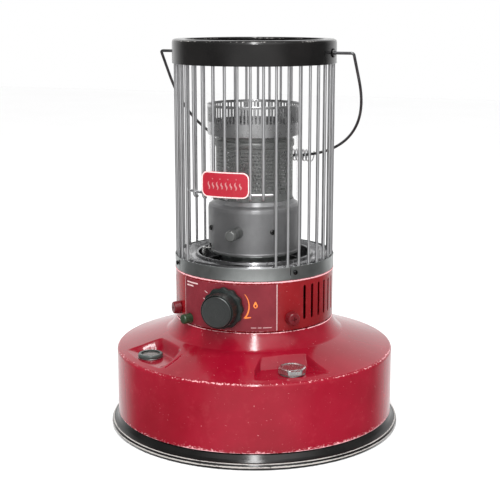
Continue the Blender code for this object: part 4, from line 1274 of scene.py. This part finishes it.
# ---------------------------------------------------------------- burner

IGNITER_AZ = -51.0
CAN_R = 64.4
CAN_FACE_R = 64.8
CAN_KNOB_Z = 282
CAN_SCREW_Z = 283
CAN_SCREWS = (("left", -46.0), ("right", 43.0))


def pan():
    """Reflector dish round the burner, open where the igniter passes."""
    line = [
        (104.6, 226.2), (104.6, 240.5), (102.6, 244.6), (98.0, 245.8), (93.0, 243.4), (88.0, 240.2),
        (82.6, 240.2), (81.4, 245.4), (78.4, 245.4), (76.8, 226.4)
    ]
    line = soften(line + [(50.0, 226.4)], 1.4, 4, closed=False)
    line = line[:-1] + [(75.6, 226.4), (69.2, 226.4), (62.4, 226.4), (50.0, 226.4)]
    edge = math.degrees(5.6 / 69.2)
    azimuths = even_azimuths([IGNITER_AZ - edge, IGNITER_AZ + edge], 2.25)

    def hole(i, j):
        radius = (line[i][0] + line[i + 1][0]) / 2
        return 62.4 < radius < 75.6 and line[i][1] < 227 and abs(azimuths[j] + 1.1 - IGNITER_AZ) < edge

    piece(
        build("dish", turned_sheet(line, azimuths, 0.8, hole), angle=40), MATS["pan"], "heater",
        "reflector", "reflector_pan"
    )


def burner():
    """Burner can with its knob, screws and seam, and the glass chimney."""
    line = soften(
        [
            (65.2, 250.0), (65.2, 252.0), (CAN_R, 252.6), (CAN_R, 260.0), (CAN_R, 304.0), (CAN_R, 308.0),
            (63.6, 312.6), (60.8, 314.8), (56.4, 316.4), (54.2, 322.0)
        ],
        0.8, 3, closed=False
    )
    edge = math.degrees(5.4 / CAN_R)
    azimuths = even_azimuths([IGNITER_AZ - edge, IGNITER_AZ + edge], 2.25)

    def hole(i, j):
        return line[i + 1][1] < 260.1 and abs(azimuths[j] + 1.1 - IGNITER_AZ) < edge

    obj = build("burner_can", turned_sheet(line, azimuths, 0.8, hole), angle=40)
    cutters = [pin(2.5, -6, 6, outward(CAN_FACE_R, 0, CAN_KNOB_Z))]
    cutters += [pin(2.0, -6, 6, outward(CAN_FACE_R, azimuth, CAN_SCREW_Z)) for _, azimuth in CAN_SCREWS]
    piece(drill(obj, *cutters, angle=40), MATS["burner"], "burner", "burner_steel", "burner_base")
    seam = flat_shape([rounded_rectangle(1.6, 26.0, 0.5, 3)], 0.0, 0.35)
    piece(build("can_seam", wrap(seam, 64.35, 24.0, 280.0)), MATS["burner"], "burner", "burner_steel")

    place = outward(CAN_FACE_R, 0, CAN_KNOB_Z)
    outline = [
        (0, -4), (2.0, -4), (2.0, 0), (8.2, 0), (7.8, 7.0), (6.6, 12.0), (7.8, 19.0), (8.0, 25.2),
        (6.4, 27.8), (0, 28.2)
    ]
    piece(
        build("burner_handle", lathe(soften(outline, 1.6, 5), 48), place), MATS["tube"], "burner",
        "burner_steel", "burner_knob"
    )
    outline = soften([(0, -3.5), (1.5, -3.5), (1.5, 0), (3.6, 0), (3.4, 1.5), (2.2, 2.3), (0, 2.3)], 0.4, 3)
    for label, azimuth in CAN_SCREWS:
        place = outward(CAN_FACE_R, azimuth, CAN_SCREW_Z)
        obj = drill(
            build("can_screw_" + label, lathe(outline, 28), place), *cross_recess(1.8, 0.8, 2.0, place)
        )
        piece(obj, MATS["black"], "burner", "bright_wire", "burner_screw_" + label)
    glass = soften([(60.9, 316.4), (62.0, 316.4), (62.0, 409.6), (60.9, 409.6)], 0.4, 3)
    piece(build("chimney", lathe(glass, 128)), MATS["glass"], "burner", "chimney_glass", "glass_chimney")


def flame_tube():
    """Tube with a field of small round holes, in staggered rows."""
    radius, wall, tiles = 53.2, 0.8, 66
    points = tiles * 2
    low, pitch, rows = 331.0, 5.0, 12
    verts, faces = [], []

    def add(offset, azimuth_step, height, reach=radius):
        verts.append(around(reach + offset, 360.0 * azimuth_step / points, height))
        return len(verts) - 1

    lower = [(radius, 322.4), (radius, 326.0)]
    upper = [
        (radius, 392.6), (radius, 393.4), (54.4, 394.2), (55.0, 395.0), (55.0, 402.0), (54.4, 403.0),
        (radius, 403.6), (radius, 409.4)
    ]
    rings = [[add(0, m, height, reach) for m in range(points)] for reach, height in lower]
    field = [[add(0, m, low + pitch * k) for m in range(points)] for k in range(rows + 1)]
    above = [[add(0, m, height, reach) for m in range(points)] for reach, height in upper]
    for a, b in list(zip(rings, rings[1:] + field[:1])) + list(zip([field[-1]] + above, above)):
        for m in range(points):
            n = (m + 1) % points
            faces.append((a[m], a[n], b[n], b[m]))
    width = FULL_TURN * radius / tiles
    for k in range(rows):
        shift = k % 2
        middles = [add(0, 2 * t + shift, low + pitch * (k + 0.5)) for t in range(tiles)]
        for t in range(tiles):
            left = 2 * t + shift
            below, over = field[k], field[k + 1]
            outer = [
                below[left % points], below[(left + 1) % points], below[(left + 2) % points],
                middles[(t + 1) % tiles]
            ]
            outer += [over[(left + 2) % points], over[(left + 1) % points], over[left % points], middles[t]]
            inner = []
            for angle in (-135, -90, -45, 0, 45, 90, 135, 180):
                x, y = 1.15 * math.cos(math.radians(angle)), 1.15 * math.sin(math.radians(angle))
                inner.append(add(0, left + 1 + 2 * x / width, low + pitch * (k + 0.5) + y))
            for c in range(8):
                d = (c + 1) % 8
                faces.append((outer[c], outer[d], inner[d], inner[c]))
    offsets = [tuple(-wall * c for c in Vector((x, y, 0)).normalized()) for x, y, z in verts]
    piece(
        build("flame_tube", thicken(verts, faces, offsets), angle=40), MATS["tube"], "burner",
        "burner_steel", "flame_tube_outer"
    )


def crown():
    """Slotted ring on top of the chimney."""
    count = 80
    half = 1.26
    special = [360.0 * i / count + x for i in range(count) for x in (-half, 0.0, half)]
    azimuths = even_azimuths(special, 1.2)
    line = [
        (50.0, 410.0), (56.0, 410.0), (62.8, 410.0), (64.1, 410.4), (64.5, 411.4), (64.5, 419.0),
        (64.5, 427.2), (64.5, 428.5), (64.5, 438.0), (64.5, 448.0), (64.5, 450.2), (64.9, 451.2),
        (64.6, 451.9), (64.1, 452.0)
    ]
    first, last = line.index((64.5, 428.5)), line.index((64.5, 448.0))

    def from_slot(azimuth):
        pitch = 360.0 / count
        return (azimuth + pitch / 2) % pitch - pitch / 2

    def shift(i, j):
        rise = 0.6 if i in (first, last) and abs(from_slot(azimuths[j])) < 0.2 else 0.0
        return (0, 0, rise if i == last else -rise)

    def hole(i, j):
        return first <= i < last and abs(from_slot(azimuths[j] + 0.3)) < half

    piece(
        build("crown_ring", turned_sheet(line, azimuths, 0.8, hole, shift), angle=40), MATS["crown"],
        "burner", "burner_steel", "crown"
    )


# ---------------------------------------------------------------- top and handle

RING_R = 112
PIVOT_Z = 521
PLATE_Z = 532.2
BAIL_REST_ANGLE = 37.9
BAIL_HALF_WIDTH = 140.0
GRIP_R = 8.3
GRIP_HALF_LENGTH = 46.0

def top():
    """Black top ring and the slotted plate inside it."""
    outline = [
        (RING_R, 506.5), (RING_R, 534.4), (111.3, 537.3), (108.6, 538.8), (95, 538.8), (95, 534.6),
        (96.2, 534.6), (96.2, 537.4), (108.0, 537.4), (110.1, 536.4), (110.7, 533.6), (110.7, 506.5)
    ]
    obj = build("hood_ring", lathe(soften(outline, 0.9, 5), 200))
    cutters = [
        pin(4.4, -6, 6, at(side * RING_R, 0, PIVOT_Z) @ Matrix.Rotation(math.pi / 2, 4, "Y"))
        for side in (-1, 1)
    ]
    piece(drill(obj, *cutters), MATS["black"], "heater", "black_enamel", "top_ring")

    slots = 20
    half = 2.5
    line = [(r, PLATE_Z) for r in (0.6, 20.0, 40.0, 56.0 + half, 68.0, 79.0, 90.0 - half, 100.0, 108.4)]
    across = [-1.0, -0.72, 0.0, 0.72, 1.0]
    azimuths = []
    for i in range(slots):
        azimuths += [
            360.0 * i / slots + math.degrees(half * x / 73.0) for x in across
        ] + [360.0 * (i + 0.35) / slots, 360.0 * (i + 0.65) / slots]
    azimuths = [a + 90 for a in azimuths]
    first, last = 3, 6

    def slot_part(j):
        part = j % 7
        return part if part < 5 else None

    def shift(i, j):
        part = slot_part(j)
        if part is None or not first <= i <= last:
            return (0, 0, 0)
        radius = line[i][0]
        centre = azimuths[j] - math.degrees(half * across[part] / 73.0)
        straight = centre + math.degrees(math.asin(half * across[part] / radius))
        rise = half * math.sqrt(1 - across[part] ** 2)
        reach = rise if i == last else -rise if i == first else 0.0
        return (reach, straight - azimuths[j], 0)

    def hole(i, j):
        part = slot_part(j)
        return first <= i < last and part is not None and part < 4

    piece(
        build("vent_plate", turned_sheet(line, azimuths, -1.2, hole, shift), angle=40), MATS["black"],
        "heater", "black_enamel", "top_plate"
    )


def bail_path(steps=40):
    """Half of the bail from the pivot to the middle, as (x, drop)."""
    half = [(105.5, 0.0), (112.0, 0.0), (124.0, 0.0)]
    half += bulge((136.8, 0.0), (BAIL_HALF_WIDTH, 3.2), -3.2 * (1 - math.cos(math.radians(45))), 8)
    half += [(BAIL_HALF_WIDTH, 14.0), (BAIL_HALF_WIDTH, 24.0)]
    for i in range(steps + 1):
        angle = math.pi / 2 * i / steps
        power = 2 / 2.4
        x = BAIL_HALF_WIDTH * max(math.cos(angle), 0.0) ** power if i < steps else 0.0
        half.append((x, 40.0 + 156.0 * math.sin(angle) ** power))
    return half


def handle():
    """Bail with its coiled grip, hanging at the back, and the bushes that it turns in."""
    turn = at(0, 0, PIVOT_Z) @ Matrix.Rotation(math.radians(BAIL_REST_ANGLE), 4, "X")
    half = bail_path()
    path = [(x, 0, -drop) for x, drop in half] + [(-x, 0, -drop) for x, drop in half[-2::-1]]
    piece(build("bail_wire", wire(path, 2.0, 16), turn), MATS["bail"], "handle", "dark_wire", "bail")
    coil = []
    turns, per_turn = 18, 22
    for i in range(turns * per_turn + 1):
        angle = FULL_TURN * i / per_turn
        x = -GRIP_HALF_LENGTH + 2 * GRIP_HALF_LENGTH * i / (turns * per_turn)
        coil.append((x, GRIP_R * math.cos(angle), -194.4 + GRIP_R * math.sin(angle)))
    piece(
        build("coil_grip", wire(coil, 0.98, 10), turn), MATS["wire"], "handle", "bright_wire", "bail_grip"
    )
    bush = soften([(2.5, -3.6), (4.0, -3.6), (4.0, 0.3), (6.2, 0.4), (5.8, 2.0), (2.5, 2.0)], 0.4, 3)
    for label, side in (("left", -1), ("right", 1)):
        place = at(side * RING_R, 0, PIVOT_Z) @ Matrix.Rotation(side * math.pi / 2, 4, "Y")
        piece(
            build("pivot_" + label, lathe(bush, 40), place), MATS["black"], "heater", "dark_wire",
            "handle_bush_" + label
        )


def igniter():
    """Bright rod carrier at the side of the burner."""
    place = outward(76.0, IGNITER_AZ, 152.0) @ Matrix.Rotation(-math.pi / 2, 4, "X")
    holder = prism(soften([(-4.0, 0.5), (4.0, 0.5), (4.0, 4.2), (-4.0, 4.2)], 0.7, 3), 92.0, 103.6)
    finger = lathe(
        soften([(0, 3.0), (1.0, 3.0), (1.0, 19.0), (1.9, 19.4), (1.9, 25.0), (0, 25.4)], 0.3, 3), 28
    )
    shape = Shape(holder).add(
        finger, Matrix.Translation((0, 0, 101.8)) @ Matrix.Rotation(-math.pi / 2, 4, "X")
    )
    piece(build("spark_tip", shape, place), MATS["bright"], "igniter", "bright_metal", "igniter_tip")


INNER = {
    "black": ["tank_pan"],
    "galvanised": [
        "draft_tube", "wick_tube", "shaft_bracket", "button_bracket", "igniter_bracket", "knob_shaft",
        "wick_sleeve", "button_stem", "igniter_arm"
    ],
    "brass": ["shaft_bearing", "drive_pinion", "wick_rack", "float_arm"],
    "wire": ["button_spring"],
    "cotton": ["wick"],
    "float": ["tank_float"],
    "burner": ["flame_tube_inner", "flame_spreader"],
}


def dress_inner_nodes():
    """Materials for the CAD pieces that are kept as they are."""
    for mat, names in INNER.items():
        for name in names:
            mesh = frame["nodes"][name].data
            mesh.materials.clear()
            mesh.materials.append(MATS[mat])


# ---------------------------------------------------------------- floor, light and camera

CAMERA_AZ = 20.8
CAMERA_DOWN = 11.958
CAMERA_DISTANCE = 1575.2
CAMERA_Z = 579.35
CAMERA_LENS = 82.26
CAMERA_SHIFT = -0.0088
LAMP_AIM = (0, 0, 260)
AMBIENT = 1.05


def floor():
    """Pale paper floor."""
    size = 6000.0
    obj = build(
        "floor",
        (
            [(-size, -size, -0.2), (size, -size, -0.2), (size, size, -0.2), (-size, size, -0.2)],
            [(0, 1, 2, 3)]
        )
    )
    paint = Paint("floor_paper", roughness=0.9, Specular_IOR_Level=0.1)
    paint.set("Base Color", paint.tint(paint.noise(3, 2, 0.5), (0.93, 0.93, 0.93), (0.955, 0.955, 0.955)))
    obj.data.materials.append(paint.mat)
    obj.visible_glossy = False


def lamp(name, azimuth, elevation, distance, width, height, power, glossy):
    """Area light; the azimuth is measured from the camera's."""
    light = bpy.data.lights.new(name, "AREA")
    light.shape = "RECTANGLE"
    light.size, light.size_y = width, height
    light.energy = power
    obj = bpy.data.objects.new(name, light)
    bpy.context.scene.collection.objects.link(obj)
    rise = math.radians(elevation)
    target = Vector(LAMP_AIM) * MM
    reach = distance * math.cos(rise)
    spot = Vector(around(reach, CAMERA_AZ + azimuth, distance * math.sin(rise))) + target
    obj.location = spot
    obj.rotation_euler = (target - spot).to_track_quat("-Z", "Y").to_euler()
    obj.visible_glossy = glossy
    obj.visible_camera = False


def world():
    """White surround. Glossy rays see softer lobes in front, behind and at the upper right."""
    scene_world = bpy.data.worlds.new("studio")
    bpy.context.scene.world = scene_world
    scene_world.use_nodes = True
    nodes, links = scene_world.node_tree.nodes, scene_world.node_tree.links
    nodes.clear()
    out = nodes.new("ShaderNodeOutputWorld")
    coords = nodes.new("ShaderNodeTexCoord")
    parts = nodes.new("ShaderNodeSeparateXYZ")
    links.new(coords.outputs["Generated"], parts.inputs[0])

    def math_node(operation, a, b=0.0):
        node = nodes.new("ShaderNodeMath")
        node.operation = operation
        for socket, value in zip(node.inputs, (a, b)):
            if isinstance(value, bpy.types.NodeSocket):
                links.new(value, socket)
            else:
                socket.default_value = value
        return node.outputs[0]

    def spread(value, low, high, to_low, to_high):
        node = nodes.new("ShaderNodeMapRange")
        node.interpolation_type = "SMOOTHSTEP"
        for key, number in (("From Min", low), ("From Max", high), ("To Min", to_low), ("To Max", to_high)):
            node.inputs[key].default_value = number
        links.new(value, node.inputs["Value"])
        return node.outputs["Result"]

    def along(direction):
        """How far the ray points along a direction."""
        products = [math_node("MULTIPLY", parts.outputs[i], value) for i, value in enumerate(direction)]
        total = products[0]
        for product in products[1:]:
            total = math_node("ADD", total, product)
        return total

    height = spread(parts.outputs["Z"], 0.3, 1.0, 1.0, 0.5)
    front_az = math.radians(CAMERA_AZ)
    dot = along((math.sin(front_az), -math.cos(front_az)))
    level = math_node(
        "SQRT", math_node("SUBTRACT", 1.0001, math_node("MULTIPLY", parts.outputs["Z"], parts.outputs["Z"]))
    )
    front = spread(math_node("DIVIDE", dot, level), 0.60, 0.985, 0.14, 0.66)
    back = spread(dot, -0.85, -0.35, 0.9, 0.0)
    rise = spread(parts.outputs["Z"], 0.15, 0.45, 1.0, 1.8)
    front = math_node("MULTIPLY", front, math_node("MULTIPLY", height, rise))
    strength = math_node("ADD", front, math_node("MULTIPLY", back, height))
    box_az, box_rise = math.radians(CAMERA_AZ + 34), math.radians(50)
    box = (
        math.sin(box_az) * math.cos(box_rise), -math.cos(box_az) * math.cos(box_rise), math.sin(box_rise)
    )
    strength = math_node("ADD", strength, spread(along(box), 0.86, 0.96, 0.0, 0.8))
    soft = nodes.new("ShaderNodeBackground")
    links.new(strength, soft.inputs["Strength"])
    plain = nodes.new("ShaderNodeBackground")
    path = nodes.new("ShaderNodeLightPath")
    diffuse = math_node("MULTIPLY", path.outputs["Is Diffuse Ray"], AMBIENT - 1.0)
    links.new(math_node("ADD", diffuse, 1.0), plain.inputs["Strength"])
    mix = nodes.new("ShaderNodeMixShader")
    links.new(path.outputs["Is Glossy Ray"], mix.inputs[0])
    links.new(plain.outputs[0], mix.inputs[1])
    links.new(soft.outputs[0], mix.inputs[2])
    links.new(mix.outputs[0], out.inputs[0])
    for shader in (soft, plain):
        shader.inputs["Color"].default_value = (1, 1, 1, 1)
    scene_world.cycles.sampling_method = "NONE"


def studio():
    """Camera and lamps."""
    scene = bpy.context.scene
    scene.view_settings.view_transform = "Standard"
    camera = bpy.data.cameras.new("camera")
    camera.lens = CAMERA_LENS
    camera.sensor_width = 36.0
    camera.shift_x = CAMERA_SHIFT
    camera.clip_start = 0.05
    obj = bpy.data.objects.new("camera", camera)
    scene.collection.objects.link(obj)
    obj.location = Vector(around(CAMERA_DISTANCE, CAMERA_AZ, CAMERA_Z)) * MM
    obj.rotation_euler = (math.radians(90 - CAMERA_DOWN), 0, math.radians(CAMERA_AZ))
    scene.camera = obj
    lamp("strip", 0, 50, 1.8, 0.16, 2.1, 30, True)
    lamp("key", -5, 38, 2.2, 1.4, 1.4, 5, False)
    lamp("fill", -50, 30, 2.4, 1.6, 1.6, 2, False)
    lamp("back", 165, 42, 2.2, 1.6, 1.2, 3, False)


tray()
tank()
filler()
gauge()
drum()
panel_print()
studs()
knob()
button()
band()
guard()
name_plate()
pan()
burner()
flame_tube()
crown()
top()
handle()
igniter()
dress_inner_nodes()
floor()
world()
studio()
